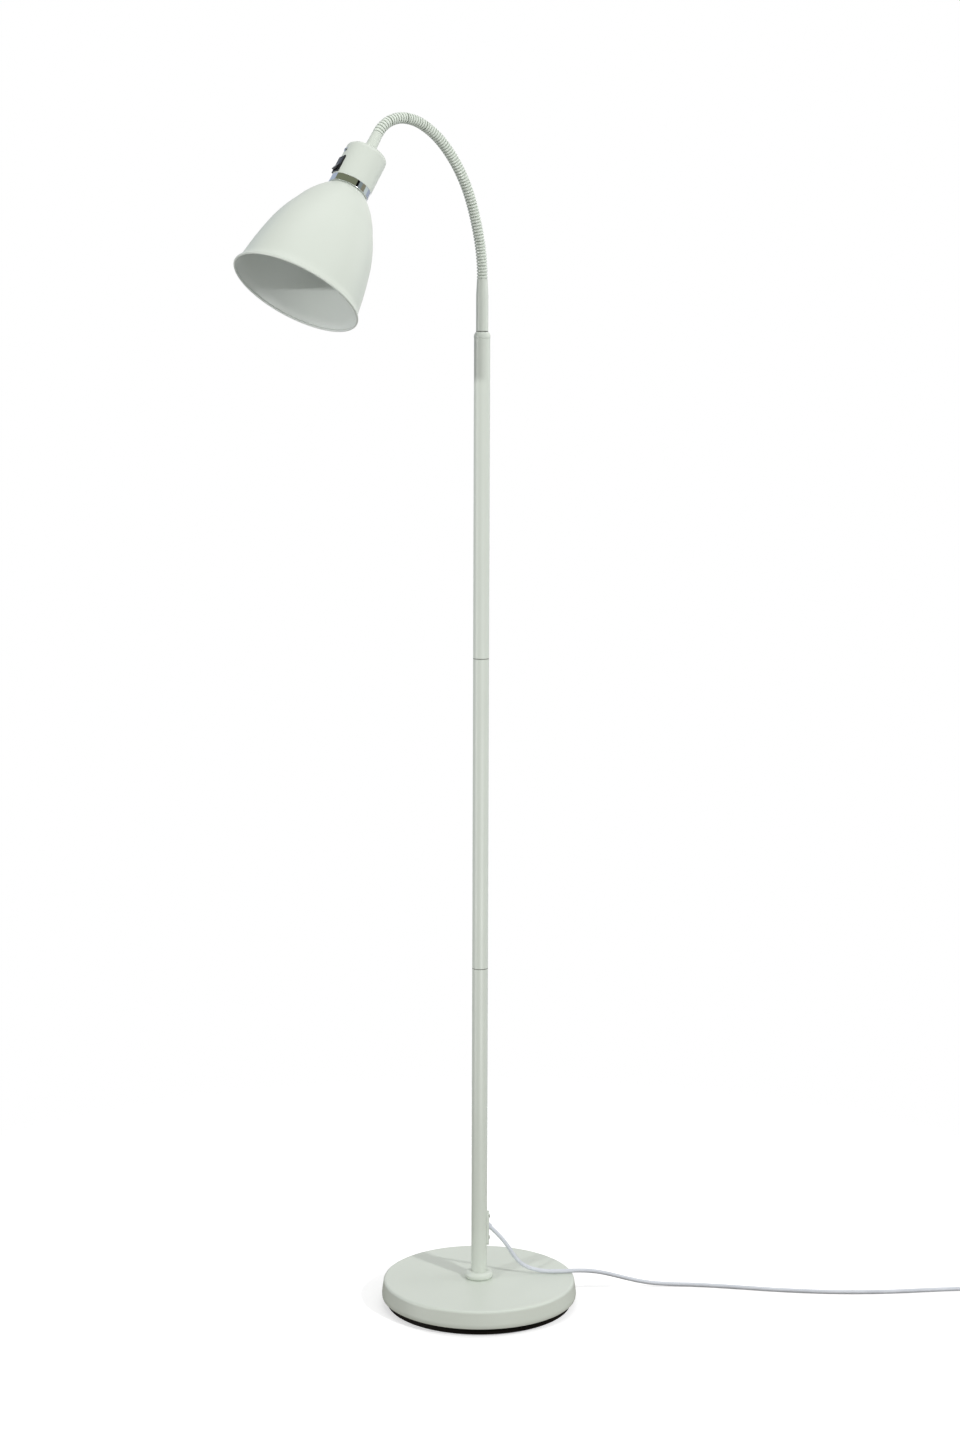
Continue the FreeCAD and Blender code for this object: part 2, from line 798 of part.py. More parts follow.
def build_gooseneck():
    """Eight ribbed stretches: each ends in a ball that turns in the hollow foot of the next."""
    core, tail = number(S.core_radius), number(S.tail_length)
    gap, ball = number(S.joint_half_gap), number(S.groove_radius)
    cable_reach = number(S.cable_reach)
    for index, bow in enumerate(BOWS):
        first, last = index == 0, index == COUNT_OF_BOWS - 1
        start = 0.0 if first else gap
        end = bow.length if last else bow.length - gap
        solid = ribbed(bow, start, end)
        solid = solid.fuse(bow.tube(core, 0, bow.length))
        if first:
            foot = bow.foot - Vector(0, 0, tail)
            solid = solid.fuse(Part.makeCylinder(number(S.tail_radius), tail + 1, foot))
        else:
            solid = solid.cut(Part.makeSphere(ball + number(S.ball_gap), bow.foot))
        tip, onward = bow.point(bow.length), bow.direction(bow.length)
        if last:
            solid = solid.fuse(Part.makeCylinder(number(S.tail_radius), tail + 1, tip - onward, onward))
        else:
            solid = solid.fuse(Part.makeSphere(ball, tip, onward, -90, number(S.ball_latitude), 360))
        lead = tail + number(S.cable_lead)
        solid = solid.cut(bow.tube(number(S.cable_bore_radius), 0, bow.length, lead, lead))
        shaped(f"gooseneck_{index + 1}", solid)
        if first:
            below = number(NECK_FOOT - POLE_CABLE_TOP - S.cable_joint_gap)
            cable = bow.tube(number(S.cord_radius), 0, bow.length - cable_reach, lead_in=below)
        elif last:
            above = number(S.head_ferrule_length + S.shank_length)
            cable = bow.tube(number(S.cord_radius), cable_reach, bow.length, lead_out=above)
        else:
            cable = bow.tube(number(S.cord_radius), cable_reach, bow.length - cable_reach)
        shaped(f"neck_cable_{index + 1}", cable)


def build_neck_foot():
    """The lower ferrule, turned on its spigot in the reducer, and the nut that holds it there."""
    straight_top = FERRULE_FOOT + S.ferrule_straight
    socket_floor = NECK_FOOT - S.tail_length - S.slack
    spigot_foot = SWIVEL_FACE - S.spigot_length
    keep(
        revolved(
            [
                (S.cable_bore_radius, spigot_foot),
                (S.thread_radius, spigot_foot),
                (S.thread_radius, FERRULE_FOOT),
                (S.ferrule_radius, FERRULE_FOOT),
                (S.ferrule_radius, straight_top),
                (S.ferrule_tip_radius, NECK_FOOT),
                (S.tail_radius + S.fit, NECK_FOOT),
                (S.tail_radius + S.fit, socket_floor),
                (S.cable_bore_radius, socket_floor),
            ]
        ),
        "neck_ferrule",
    )
    nut_foot = POLE_TOP - S.bush_length - S.running_gap - S.nut_height
    keep(nut(S.nut_across_flats, BORE_OVER_THREAD, S.nut_height, nut_foot), "swivel_nut")


# ---------------------------------------------------------------- head

NECK_END = BOWS[-1]
HEAD_TURN = NECK_END.frame(NECK_END.length).Rotation


def on_head(along=0.0, turn=0.0):
    """A placement on the head's axis, that far past the cup's top face, turned about the axis."""
    axis = NECK_END.direction(NECK_END.length)
    foot = NECK_END.point(NECK_END.length) + axis * (number(S.head_ferrule_length) + along)
    return Placement(foot, HEAD_TURN.multiply(Rotation(Vector(0, 0, 1), turn)))


def build_head_shell():
    """Upper ferrule with its nut, the cup with the switch opening, and the chrome ring under it."""
    ferrule_top = number(S.head_ferrule_length)
    socket_floor = S.tail_length + S.slack
    keep(
        revolved(
            [
                (S.tail_radius + S.fit, ON_AXIS),
                (S.head_ferrule_tip_radius, ON_AXIS),
                (S.head_ferrule_foot_radius, S.head_ferrule_length),
                (S.thread_radius, S.head_ferrule_length),
                (S.thread_radius, S.head_ferrule_length + S.shank_length),
                (S.cable_bore_radius, S.head_ferrule_length + S.shank_length),
                (S.cable_bore_radius, socket_floor),
                (S.tail_radius + S.fit, socket_floor),
            ],
            on_head(-ferrule_top),
        ),
        "head_ferrule",
    )
    nut_foot = S.cup_wall + S.bracket_sheet
    keep(placed(nut(S.nut_across_flats, BORE_OVER_THREAD, S.nut_height), on_head(number(nut_foot))), "ferrule_nut")
    edge = S.cup_edge_radius
    inner_edge = S.cup_edge_radius - S.cup_wall
    inner = S.cup_radius - S.cup_wall
    cup = revolved(
        [
            (BORE_OVER_THREAD, ON_AXIS),
            (S.cup_radius - edge, ON_AXIS, edge, True),
            (S.cup_radius, edge),
            (S.cup_radius, S.cup_length),
            (inner, S.cup_length),
            (inner, S.cup_wall + inner_edge, inner_edge, False),
            (inner - inner_edge, S.cup_wall),
            (BORE_OVER_THREAD, S.cup_wall),
        ]
    )
    DOCUMENT.recompute()
    slack = number(S.slack)
    length, width = number(S.switch_flange_length) + 2 * slack, number(S.switch_flange_width) + 2 * slack
    reach = number(S.cup_radius)
    corner = Vector(reach / 2, -width / 2, number(S.switch_centre) - length / 2)
    opening = Part.makeBox(reach, width, length, corner)
    screw_foot = Vector(reach / 2, 0, number(S.housing_screw_height))
    screw = Part.makeCylinder(number(S.housing_screw_radius + S.fit), reach, screw_foot, Vector(1, 0, 0))
    shaped("switch_housing", cup.Shape.cut(opening).cut(screw), on_head(0, number(S.switch_angle)))
    ring_inner = S.cup_radius - S.ring_wall
    keep(
        revolved(
            [
                (ring_inner, ON_AXIS),
                (S.cup_radius, ON_AXIS),
                (S.cup_radius, S.ring_height - S.ring_edge_radius, S.ring_edge_radius, True),
                (S.cup_radius - S.ring_edge_radius, S.ring_height),
                (S.shade_neck_radius + S.fit, S.ring_height),
                (S.shade_neck_radius + S.fit, S.ring_height - S.ring_lip_height),
                (ring_inner, S.ring_height - S.ring_lip_height),
            ],
            on_head(number(S.cup_length)),
        ),
        "chrome_ring",
    )


# distances along the head's axis from the cup's top face
PLATE_TOP = S.cup_length + S.slack
SHADE_SEAT = PLATE_TOP + S.bracket_sheet
CAP_SEAT = SHADE_SEAT + S.shade_sheet
BODY_TOP = CAP_SEAT + S.holder_cap_length
BODY_END = BODY_TOP + S.holder_body_length
SHADE_START = S.cup_length + S.ring_height


def build_bracket():
    """The steel strap from the ferrule's nut down past the switch to the disc that carries the lampholder."""
    sheet = S.bracket_sheet
    top = S.cup_wall
    leg_out = S.bracket_leg_offset + sheet
    tab_out = S.cup_radius - S.cup_wall - S.bracket_tab_gap
    corner = S.bracket_corner
    strap = padded(
        [
            (corner - leg_out, top),
            (tab_out - corner, top),
            (tab_out, top + corner),
            (tab_out, top + S.bracket_tab_length),
            (tab_out - sheet, top + S.bracket_tab_length),
            (tab_out - sheet, top + corner + sheet / 2),
            (tab_out - corner - sheet / 2, top + sheet),
            (corner - leg_out + sheet / 2, top + sheet),
            (-1 * S.bracket_leg_offset, top + corner + sheet / 2),
            (-1 * S.bracket_leg_offset, PLATE_TOP),
            (-1 * leg_out, PLATE_TOP),
            (-1 * leg_out, top + corner),
        ],
        S.bracket_width,
    )
    disc = cylinder(S.cup_radius - S.ring_wall - S.bracket_disc_gap, sheet, PLATE_TOP)
    holes = fused(
        cylinder(BORE_OVER_THREAD, sheet + 2, top - 1),
        cylinder(BORE_OVER_THREAD, sheet + 2, PLATE_TOP - 1),
    )
    whole = cut(fused(strap, disc), holes)
    DOCUMENT.recompute()
    surface = number(S.cup_radius)
    way_foot = Vector(surface / 2, 0, number(S.housing_screw_height))
    screw_way = Part.makeCylinder(number(S.housing_screw_radius + S.fit), surface, way_foot, Vector(1, 0, 0))
    shaped("holder_bracket", whole.Shape.cut(screw_way), on_head(0, number(S.switch_angle)))
    shank = number(tab_out - S.housing_screw_reach)
    screw = Part.makeCylinder(number(S.housing_screw_radius), surface - shank, Vector(shank, 0, 0), Vector(1, 0, 0))
    head_foot, head_tip = number(S.housing_screw_head), number(S.housing_screw_head - S.housing_screw_bevel)
    head_height = number(S.housing_screw_head_height)
    head = Part.makeCone(head_foot, head_tip, head_height, Vector(surface, 0, 0), Vector(1, 0, 0))
    screw_place = on_head(number(S.housing_screw_height), number(S.switch_angle))
    shaped("housing_screw", screw.fuse(head), screw_place)


def build_holder():
    """Hollow nipple and nut, lampholder cap and body, its screw shell and contact, and the bulb."""
    nipple_top = SHADE_SEAT - S.holder_nipple_reach
    keep(
        placed(
            ring(S.thread_radius, S.cable_bore_radius, S.holder_nipple_length),
            on_head(number(nipple_top)),
        ),
        "holder_nipple",
    )
    nut_foot = PLATE_TOP - S.nut_height
    keep(
        placed(nut(S.nut_across_flats, BORE_OVER_THREAD, S.nut_height), on_head(number(nut_foot))),
        "holder_nut",
    )
    shoulder_end = S.holder_shoulder_height
    boss_floor = S.holder_cap_length - S.holder_floor
    keep(
        revolved(
            [
                (BORE_OVER_THREAD, ON_AXIS),
                (S.holder_shoulder_radius, ON_AXIS),
                (S.holder_shoulder_radius, shoulder_end),
                (S.holder_radius, shoulder_end),
                (S.holder_radius, S.holder_cap_length),
                (S.holder_radius - S.holder_wall, S.holder_cap_length),
                (S.holder_radius - S.holder_wall, boss_floor),
                (BORE_OVER_THREAD, boss_floor),
            ],
            on_head(number(CAP_SEAT)),
        ),
        "holder_cap",
    )
    floor = S.holder_body_length - S.socket_depth
    keep(
        revolved(
            [
                (ON_AXIS, ON_AXIS),
                (S.holder_radius, ON_AXIS),
                (S.holder_radius, S.holder_body_length - S.holder_edge_radius, S.holder_edge_radius, True),
                (S.holder_radius - S.holder_edge_radius, S.holder_body_length),
                (S.socket_radius, S.holder_body_length),
                (S.socket_radius, floor),
                (ON_AXIS, floor),
            ],
            on_head(number(BODY_TOP)),
        ),
        "holder_body",
    )
    sleeve_outer = S.socket_radius - S.fit
    sleeve_place = on_head(number(BODY_TOP + floor + S.sleeve_seat))
    sleeve_length = S.socket_depth - S.sleeve_seat * 2
    keep(placed(ring(sleeve_outer, sleeve_outer - S.shell_sheet, sleeve_length), sleeve_place), "screw_shell")
    keep(placed(cylinder(S.contact_radius, S.contact_height), on_head(number(BODY_TOP + floor))), "centre_contact")
    bulb_start = number(BODY_TOP + floor + S.contact_height)
    cap_end = S.bulb_cap_length
    keep(
        revolved(
            [
                (ON_AXIS, ON_AXIS),
                (S.bulb_tip_radius, ON_AXIS),
                (S.bulb_tip_radius, S.bulb_tip_length),
                (S.bulb_cap_radius, S.bulb_insulator_length),
                (S.bulb_cap_radius, cap_end),
                (ON_AXIS, cap_end),
            ],
            on_head(bulb_start),
        ),
        "bulb_cap",
    )
    round_centre = S.bulb_length - S.bulb_radius
    throat = S.bulb_throat_radius
    joint_height = round_centre - S.bulb_radius * math.sqrt(0.5)
    joint_radius = S.bulb_radius * math.sqrt(0.5)
    keep(
        revolved(
            [
                (ON_AXIS, cap_end),
                (throat, cap_end),
                (throat, cap_end + 1),
                (joint_radius, joint_height, S.bulb_radius, True),
                (S.bulb_radius, round_centre, S.bulb_radius, True),
                (ON_AXIS, S.bulb_length),
            ],
            on_head(bulb_start),
        ),
        "bulb_glass",
    )


def build_shade():
    """The spun bell: a neck inside the ring, shoulder, belly, skirt, and a flare with a rolled bead."""
    sheet, bead = S.shade_sheet, S.rim_bead_radius
    neck_end = SHADE_START - SHADE_SEAT
    shoulder = neck_end + S.shade_shoulder_depth
    belly = neck_end + S.shade_belly_depth
    skirt = neck_end + S.shade_skirt_depth
    mouth = neck_end + S.shade_length
    hole = S.thread_radius + S.slack
    corners = [
        (hole, ON_AXIS),
        (S.shade_neck_radius, ON_AXIS),
        (S.shade_neck_radius, neck_end, S.shade_shoulder_bow, True),
        (S.shade_shoulder_radius, shoulder, S.shade_belly_bow, True),
        (S.shade_belly_radius, belly, S.shade_skirt_bow, True),
        (S.shade_skirt_radius, skirt, S.shade_flare_bow, False),
        (S.shade_mouth_radius, mouth - bead * 2, bead, True),
        (S.shade_mouth_radius + bead, mouth - bead, bead, True),
        (S.shade_mouth_radius, mouth),
        (S.shade_mouth_radius - sheet, mouth - bead, S.shade_flare_bow, True),
        (S.shade_skirt_radius - sheet, skirt, S.shade_skirt_bow, False),
        (S.shade_belly_radius - sheet, belly + sheet / 4, S.shade_belly_bow, False),
        (S.shade_shoulder_radius - sheet / 2, shoulder + sheet, S.shade_shoulder_bow, False),
        (S.shade_neck_radius - sheet, neck_end + sheet),
        (S.shade_neck_radius - sheet, sheet),
        (hole, sheet),
    ]
    keep(revolved(corners, on_head(number(SHADE_SEAT))), "shade")


def build_switch():
    """The switch body with its pocket, the rocker on its pin, and the two terminal tabs."""
    angle = number(S.switch_angle)
    face, centre = number(S.switch_face), number(S.switch_centre)
    flange_length, flange_width = number(S.switch_flange_length), number(S.switch_flange_width)
    flange = number(S.switch_flange_height)
    length, width, depth = number(S.switch_body_length), number(S.switch_body_width), number(S.switch_body_depth)
    body = Part.makeBox(
        flange, flange_width, flange_length, Vector(face - flange, -flange_width / 2, -flange_length / 2)
    )
    body = body.fuse(Part.makeBox(depth, width, length, Vector(face - depth, -width / 2, -length / 2)))
    pocket_length = number(S.rocker_length + S.rocker_end_gap * 2)
    pocket_width = number(S.rocker_width + S.rocker_side_gap * 2)
    pivot_depth = number(S.rocker_pivot_depth)
    pocket_depth = number(S.rocker_pocket_depth)
    pocket = Part.makeBox(
        pocket_depth + 1,
        pocket_width,
        pocket_length,
        Vector(face - pocket_depth, -pocket_width / 2, -pocket_length / 2),
    )
    pin_radius = number(S.rocker_pin_radius)
    pivot = Vector(face - pivot_depth, -width / 2 - 1, 0)
    pin_hole = Part.makeCylinder(pin_radius + number(S.fit), width + 2, pivot, Vector(0, 1, 0))
    place = on_head(centre, angle)
    shaped("switch_body", body.removeSplitter().cut(pocket).cut(pin_hole), place)
    half, slope = number(S.rocker_length) / 2, math.radians(number(S.rocker_slope))
    rise = half * math.tan(slope)
    keel, edge = number(S.rocker_keel), number(S.rocker_edge)
    outline = [
        Vector(pivot_depth, 0, 0),
        Vector(pivot_depth + rise, 0, half),
        Vector(pivot_depth + rise - edge, 0, half),
        Vector(-keel, 0, edge),
        Vector(-keel, 0, -edge),
        Vector(pivot_depth + rise - edge, 0, -half),
        Vector(pivot_depth + rise, 0, -half),
        Vector(pivot_depth, 0, 0),
    ]
    rocker_width = number(S.rocker_width)
    block = Part.Face(Part.makePolygon(outline)).extrude(Vector(0, rocker_width, 0))
    block.translate(Vector(0, -rocker_width / 2, 0))
    pin = Part.makeCylinder(pin_radius, width, Vector(0, -width / 2, 0), Vector(0, 1, 0))
    tilt = Rotation(Vector(0, 1, 0), number(S.rocker_slope))
    pivot_place = Placement(Vector(face - pivot_depth, 0, 0), tilt)
    shaped("rocker", block.fuse(pin), place.multiply(pivot_place))
    tabs = []
    reach = number(S.terminal_length)
    for offset in (-length / 4, length / 4):
        tabs.append(Part.makeBox(reach, 4.8, 0.8, Vector(face - depth - reach, -2.4, offset - 0.4)))
    shaped("switch_terminals", Part.makeCompound(tabs), place)


def build_head_wires():
    """Two cores from the cable's end to the switch, and one on to the lampholder."""
    radius = number(S.wire_radius)
    angle = number(S.switch_angle)
    cable_end = number(S.shank_length)
    face, depth = number(S.switch_face), number(S.switch_body_depth)
    tab = face - depth - number(S.terminal_length)
    terminal = number(S.switch_centre - S.switch_body_length / 4)
    nipple_top = number(SHADE_SEAT - S.holder_nipple_reach)
    offset = number(S.cord_radius) / 2 + 0.1
    routes = [
        [
            Vector(offset, 0, cable_end),
            Vector(offset, 0, cable_end + 5),
            Vector(tab - 1, 0, terminal - 7),
            Vector(tab + 1, 0, terminal - radius - 0.7),
        ],
        [
            Vector(-offset, 0, cable_end),
            Vector(-offset, 0, cable_end + 6),
            Vector(-2 * offset, 0, cable_end + 14),
            Vector(-offset, 0, nipple_top + 4),
        ],
    ]
    wires = [tube_along(route, radius) for route in routes]
    shaped("head_wires", Part.makeCompound(wires), on_head(0, angle))


# ---------------------------------------------------------------- free cord, coil and plug

# The free cord's route from the entry plate over the base's edge and along the floor, drawn in a plan turned to
# the cord's side: x away from the pole, y to its left, and the height above the floor.
CORD_PLAN_TURN = -43
CORD_ROUTE = [
    (34, 6.2, 71.5),
    (43.5, 7.8, 58.5),
    (57, 9.5, 47.3),
    (75, 10.8, 40.2),
    (97, 12, 36.8),
    (120, 15, 36.3),
    (142, 22, 32.5),
    (164, 32, 24.5),
    (187, 43, 14.5),
    (212, 52, 6.4),
    (240, 56.5, 3.1),
    (275, 55.5, 2.7),
    (320, 48, 2.75),
    (375, 37.5, 2.7),
    (440, 31, 2.75),
    (510, 33, 2.7),
    (575, 42.5, 2.75),
]
COIL_CENTRE = (655, 84)


def plan_point(across, left, height):
    turn = Rotation(Vector(0, 0, 1), CORD_PLAN_TURN)
    return turn.multVec(Vector(across, left, height))


def coil_point(turns):
    """A point of the coil's centreline: it spirals in on the floor, climbs, and spirals out on top."""
    outer, pitch = number(S.coil_radius), number(S.coil_pitch)
    inward = number(S.coil_turns_in)
    inner = outer - pitch * inward
    radius = outer - pitch * turns if turns < inward else inner + pitch * (turns - inward)
    share = min(max((turns - inward + 0.25) / 0.5, 0.0), 1.0)
    climb = share * share * (3 - 2 * share)
    angle = -math.pi / 2 + 2 * math.pi * turns
    height = number(S.cord_floor_height) + climb * number(S.coil_step)
    across = COIL_CENTRE[0] + radius * math.cos(angle)
    return plan_point(across, COIL_CENTRE[1] + radius * math.sin(angle), height)


def coil_direction(turns):
    step = 1e-4
    return (coil_point(turns + step) - coil_point(turns - step)).normalize()


def arc_from(start, direction, end):
    """The arc that leaves start along direction and reaches end."""
    chord = end - start
    half = direction.getAngle(chord) / 2
    along = Vector(chord).normalize()
    sideways = direction - along * direction.dot(along)
    if sideways.Length < 1e-9:
        return Part.LineSegment(start, end).toShape()
    middle = start + chord / 2 + sideways.normalize() * (chord.Length / 2 * math.tan(half))
    return Part.Arc(start, middle, end).toShape()


def biarc(start, start_way, end, end_way):
    """Two arcs that join smoothly and run from start along start_way to end along end_way."""
    span = end - start
    both = start_way + end_way
    spread = 2 * (1 - start_way.dot(end_way))
    across = span.dot(both)
    reach = (-across + math.sqrt(across * across + spread * span.dot(span))) / spread
    joint = ((start + start_way * reach) + (end - end_way * reach)) / 2
    back = arc_from(end, end_way * -1, joint)
    return [arc_from(start, start_way, joint), back]


def coil_path():
    total = number(S.coil_turns_in + S.coil_turns_out)
    count = round(total * 4)
    knots = [total * index / count for index in range(count + 1)]
    straight = number(S.cord_radius) * 2
    first, last = coil_point(0), coil_point(total)
    edges = [Part.LineSegment(first - coil_direction(0) * straight, first).toShape()]
    for here, following in zip(knots, knots[1:]):
        edges += biarc(coil_point(here), coil_direction(here), coil_point(following), coil_direction(following))
    edges.append(Part.LineSegment(last, last + coil_direction(total) * straight).toShape())
    return Part.Wire(Part.__sortEdges__(edges))


def coil_gap():
    """The least gap of the coil's tube to itself, measured on points of neighbouring turns."""
    total = number(S.coil_turns_in + S.coil_turns_out)
    steps = round(total * 48)
    points = [coil_point(total * index / steps) for index in range(steps + 1)]
    least = min(
        points[first].distanceToPoint(points[second])
        for first in range(steps)
        for second in range(first + 24, steps + 1)
    )
    return least - 2 * number(S.cord_radius)


def build_cord():
    """The free cord, its neat coil, and the plug on its end."""
    radius = number(S.cord_radius)
    straight = radius * 2
    coil_foot = coil_point(0) - coil_direction(0) * straight
    _, way, _ = cord_way()
    first = cord_exit() + way * number(S.cord_first_run)
    last = coil_foot - coil_direction(0) * number(S.cord_last_run)
    middle = [plan_point(*point) for point in CORD_ROUTE]
    route = [cord_exit(), first] + middle + [last, coil_foot]
    shaped("cord_run", tube_along(route, radius, "cord_run"))
    path = coil_path()
    coil = swept_round(path, radius, coil_foot, coil_direction(0))
    print("cord_coil length", round(path.Length, 1), "least gap to itself", round(coil_gap(), 2))
    print("cord_coil volume / (section x length)", round(coil.Volume / (math.pi * radius**2 * path.Length), 5))
    shaped("cord_coil", coil)
    total = number(S.coil_turns_in + S.coil_turns_out)
    away = coil_direction(total)
    foot = coil_point(total) + away * straight
    heading = math.degrees(math.atan2(away.y, away.x))
    build_plug(foot, heading)


def build_plug(foot, heading):
    """A flat two-pin plug lying on the floor, its cord end tapered to a strain relief."""
    relief = number(S.relief_length)
    turn = Rotation(Vector(0, 0, 1), heading)
    lying = turn.multiply(Rotation(Vector(0, 1, 0), 90))
    keep(
        revolved(
            [
                (ON_AXIS, ON_AXIS),
                (S.cord_radius + 0.6, ON_AXIS),
                (S.relief_radius, S.relief_length),
                (ON_AXIS, S.relief_length),
            ],
            Placement(foot, lying),
        ),
        "plug_relief",
    )
    length, half, corner = S.plug_length, S.plug_width / 2, S.plug_corner
    base = foot + turn.multVec(Vector(relief, 0, 0))
    body = padded(
        [
            (ON_AXIS, half - corner),
            (corner, half),
            (length - 2, half),
            (length, half - 2),
            (length, -1 * half + 2),
            (length - 2, -1 * half),
            (corner, -1 * half),
            (ON_AXIS, -1 * half + corner),
        ],
        S.plug_height,
        "XY_Plane",
        Placement(base, turn),
    )
    keep(body, "plug_body")
    pins = []
    for side in (-1, 1):
        start = Vector(number(length), side * number(S.pin_spacing) / 2, 0)
        shank = Part.makeCylinder(number(S.pin_radius), number(S.pin_length) - 1, start, Vector(1, 0, 0))
        nose = Part.makeCone(
            number(S.pin_radius),
            number(S.pin_radius) - 0.8,
            1,
            start + Vector(number(S.pin_length) - 1, 0, 0),
            Vector(1, 0, 0),
        )
        pins.append(shank.fuse(nose))
    shaped("plug_pins", Part.makeCompound(pins), Placement(base, turn))


def check_and_export():
    """Stops on a failed feature or a bad shape, then writes one file for each labelled sub-part."""
    DOCUMENT.recompute()
    for item in DOCUMENT.Objects:
        if "Invalid" in item.State or "Error" in item.State:
            raise RuntimeError(f"{item.Label} failed: {item.State}")
    os.makedirs("parts", exist_ok=True)
    for node in NODES:
        if node.Shape.isNull() or not node.Shape.isValid() or not node.Shape.Solids:
            raise RuntimeError(f"{node.Label} has no sound shape")
    for node in NODES:
        node.Shape.exportStep(f"parts/{node.Label}.step")
    print("nodes", len(NODES), "solids", sum(len(node.Shape.Solids) for node in NODES))


build_base()
build_pole()
build_cord_entry()
build_neck_foot()
build_gooseneck()
build_head_shell()
build_bracket()
build_holder()
build_shade()
build_switch()
build_head_wires()
build_cord()
check_and_export()
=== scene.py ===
"""Looks of a gooseneck reading lamp: white powder-coated steel, a chrome ring and a black rocker switch."""

import logging
import math
from dataclasses import dataclass, field
from enum import Enum
from typing import Callable, NamedTuple

import bmesh
import bpy
from mathutils import Matrix, Vector


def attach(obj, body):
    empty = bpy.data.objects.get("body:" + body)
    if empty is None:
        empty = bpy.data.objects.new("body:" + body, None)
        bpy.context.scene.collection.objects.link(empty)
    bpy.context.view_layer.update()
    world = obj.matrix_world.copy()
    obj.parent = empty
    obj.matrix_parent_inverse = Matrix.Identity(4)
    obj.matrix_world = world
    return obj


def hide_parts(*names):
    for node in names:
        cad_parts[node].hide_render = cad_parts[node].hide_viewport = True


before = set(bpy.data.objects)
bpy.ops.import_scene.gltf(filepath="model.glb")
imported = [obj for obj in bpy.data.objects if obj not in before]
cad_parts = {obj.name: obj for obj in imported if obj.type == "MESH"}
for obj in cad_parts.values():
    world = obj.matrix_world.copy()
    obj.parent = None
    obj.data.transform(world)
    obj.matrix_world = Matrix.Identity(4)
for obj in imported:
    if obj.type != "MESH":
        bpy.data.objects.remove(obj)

MM = 0.001
# A side of an outline that is longer than LONG_SIDE gets support corners, SUPPORT_GAP from its roundings.
LONG_SIDE = 7.0
SUPPORT_GAP = 0.5
# The hose's plain tails and the seats that hold them in the ferrules.
HOSE_BORE = 3.4
TAIL_RADIUS = 5.0
SEAT_RADIUS = 5.05
SEAT_DEPTH = 12.7
# The part of the mottling over which tint and roughness drift, and the scale of the turning marks.
DRIFT = (0.3, 0.7)
MARKS_SCALE = 420.0
Point = tuple[float, ...]
Face = bmesh.types.BMFace
Shape = bmesh.types.BMesh
Tree = bpy.types.NodeTree
Values = dict[str | int, object]
LOG = logging.getLogger("reading_lamp")
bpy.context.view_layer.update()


# -------- effects that several finishes share


def effect_group(name: str, inputs: dict[str, str], outputs: dict[str, str]) -> tuple:
    """Starts a shader node group.

    Args:
        name: The group's name.
        inputs: Socket name to socket type, for what goes in.
        outputs: Socket name to socket type, for what comes out.

    Returns:
        The node tree, its input node and its output node.
    """
    tree = bpy.data.node_groups.new(name, "ShaderNodeTree")
    for label, kind in inputs.items():
        tree.interface.new_socket(name=label, in_out="INPUT", socket_type=kind)
    for label, kind in outputs.items():
        tree.interface.new_socket(name=label, in_out="OUTPUT", socket_type=kind)
    return tree, tree.nodes.new("NodeGroupInput"), tree.nodes.new("NodeGroupOutput")


def feed(node: bpy.types.Node, values: Values) -> bpy.types.Node:
    """Sets a node's inputs.

    Args:
        node: The node.
        values: Input name or number to its value, or to the socket that feeds it.

    Returns:
        The same node.
    """
    for label, value in values.items():
        if isinstance(value, bpy.types.NodeSocket):
            node.id_data.links.new(value, node.inputs[label])
        else:
            node.inputs[label].default_value = value
    return node


def add(tree: Tree, kind: str, values: Values | None = None) -> bpy.types.Node:
    """Adds a shader node, whose kind is given without its leading ShaderNode, and sets its inputs."""
    return feed(tree.nodes.new(f"ShaderNode{kind}"), values or {})


def add_group(tree: Tree, group: Tree, values: Values) -> bpy.types.Node:
    """Adds a node of a shared effect group and sets its inputs."""
    made = tree.nodes.new("ShaderNodeGroup")
    made.node_tree = group
    return feed(made, values)


def new_material(name: str) -> tuple[bpy.types.Material, Tree, bpy.types.Node]:
    """Starts a material, and hands back it, its tree and its surface shader."""
    made = bpy.data.materials.new(name)
    made.use_nodes = True
    return made, made.node_tree, made.node_tree.nodes["Principled BSDF"]


def build_skin_group() -> Tree:
    """Broad mottling and a fine skin, as sprayed or moulded surfaces have.

    Returns:
        A group with the outputs Mottle and Skin, both from 0 to 1.
    """
    tree, start, end = effect_group(
        "skin_texture",
        {"Vector": "NodeSocketVector", "Broad Scale": "NodeSocketFloat", "Fine Scale": "NodeSocketFloat"},
        {"Mottle": "NodeSocketFloat", "Skin": "NodeSocketFloat"},
    )
    given = start.outputs
    broad = add(tree, "TexNoise", {"Vector": given["Vector"], "Scale": given["Broad Scale"], "Detail": 4.0})
    fine = add(tree, "TexNoise", {"Vector": given["Vector"], "Scale": given["Fine Scale"], "Detail": 3.0})
    feed(fine, {"Roughness": 0.6})
    feed(end, {"Mottle": broad.outputs["Fac"], "Skin": fine.outputs["Fac"]})
    return tree


def build_brushing_group() -> Tree:
    """Fine turning marks round the Z axis of the coordinates, as turned or drawn metal has.

    Returns:
        A group with the output Marks, from 0 to 1.
    """
    tree, start, end = effect_group(
        "turning_marks",
        {"Vector": "NodeSocketVector", "Scale": "NodeSocketFloat"},
        {"Marks": "NodeSocketFloat"},
    )
    stretch = add(tree, "Mapping", {"Vector": start.outputs["Vector"], "Scale": (0.15, 0.15, 6.0)})
    noise = add(tree, "TexNoise", {"Vector": stretch.outputs["Vector"], "Scale": start.outputs["Scale"]})
    feed(noise, {"Detail": 2.0})
    feed(end, {"Marks": noise.outputs["Fac"]})
    return tree


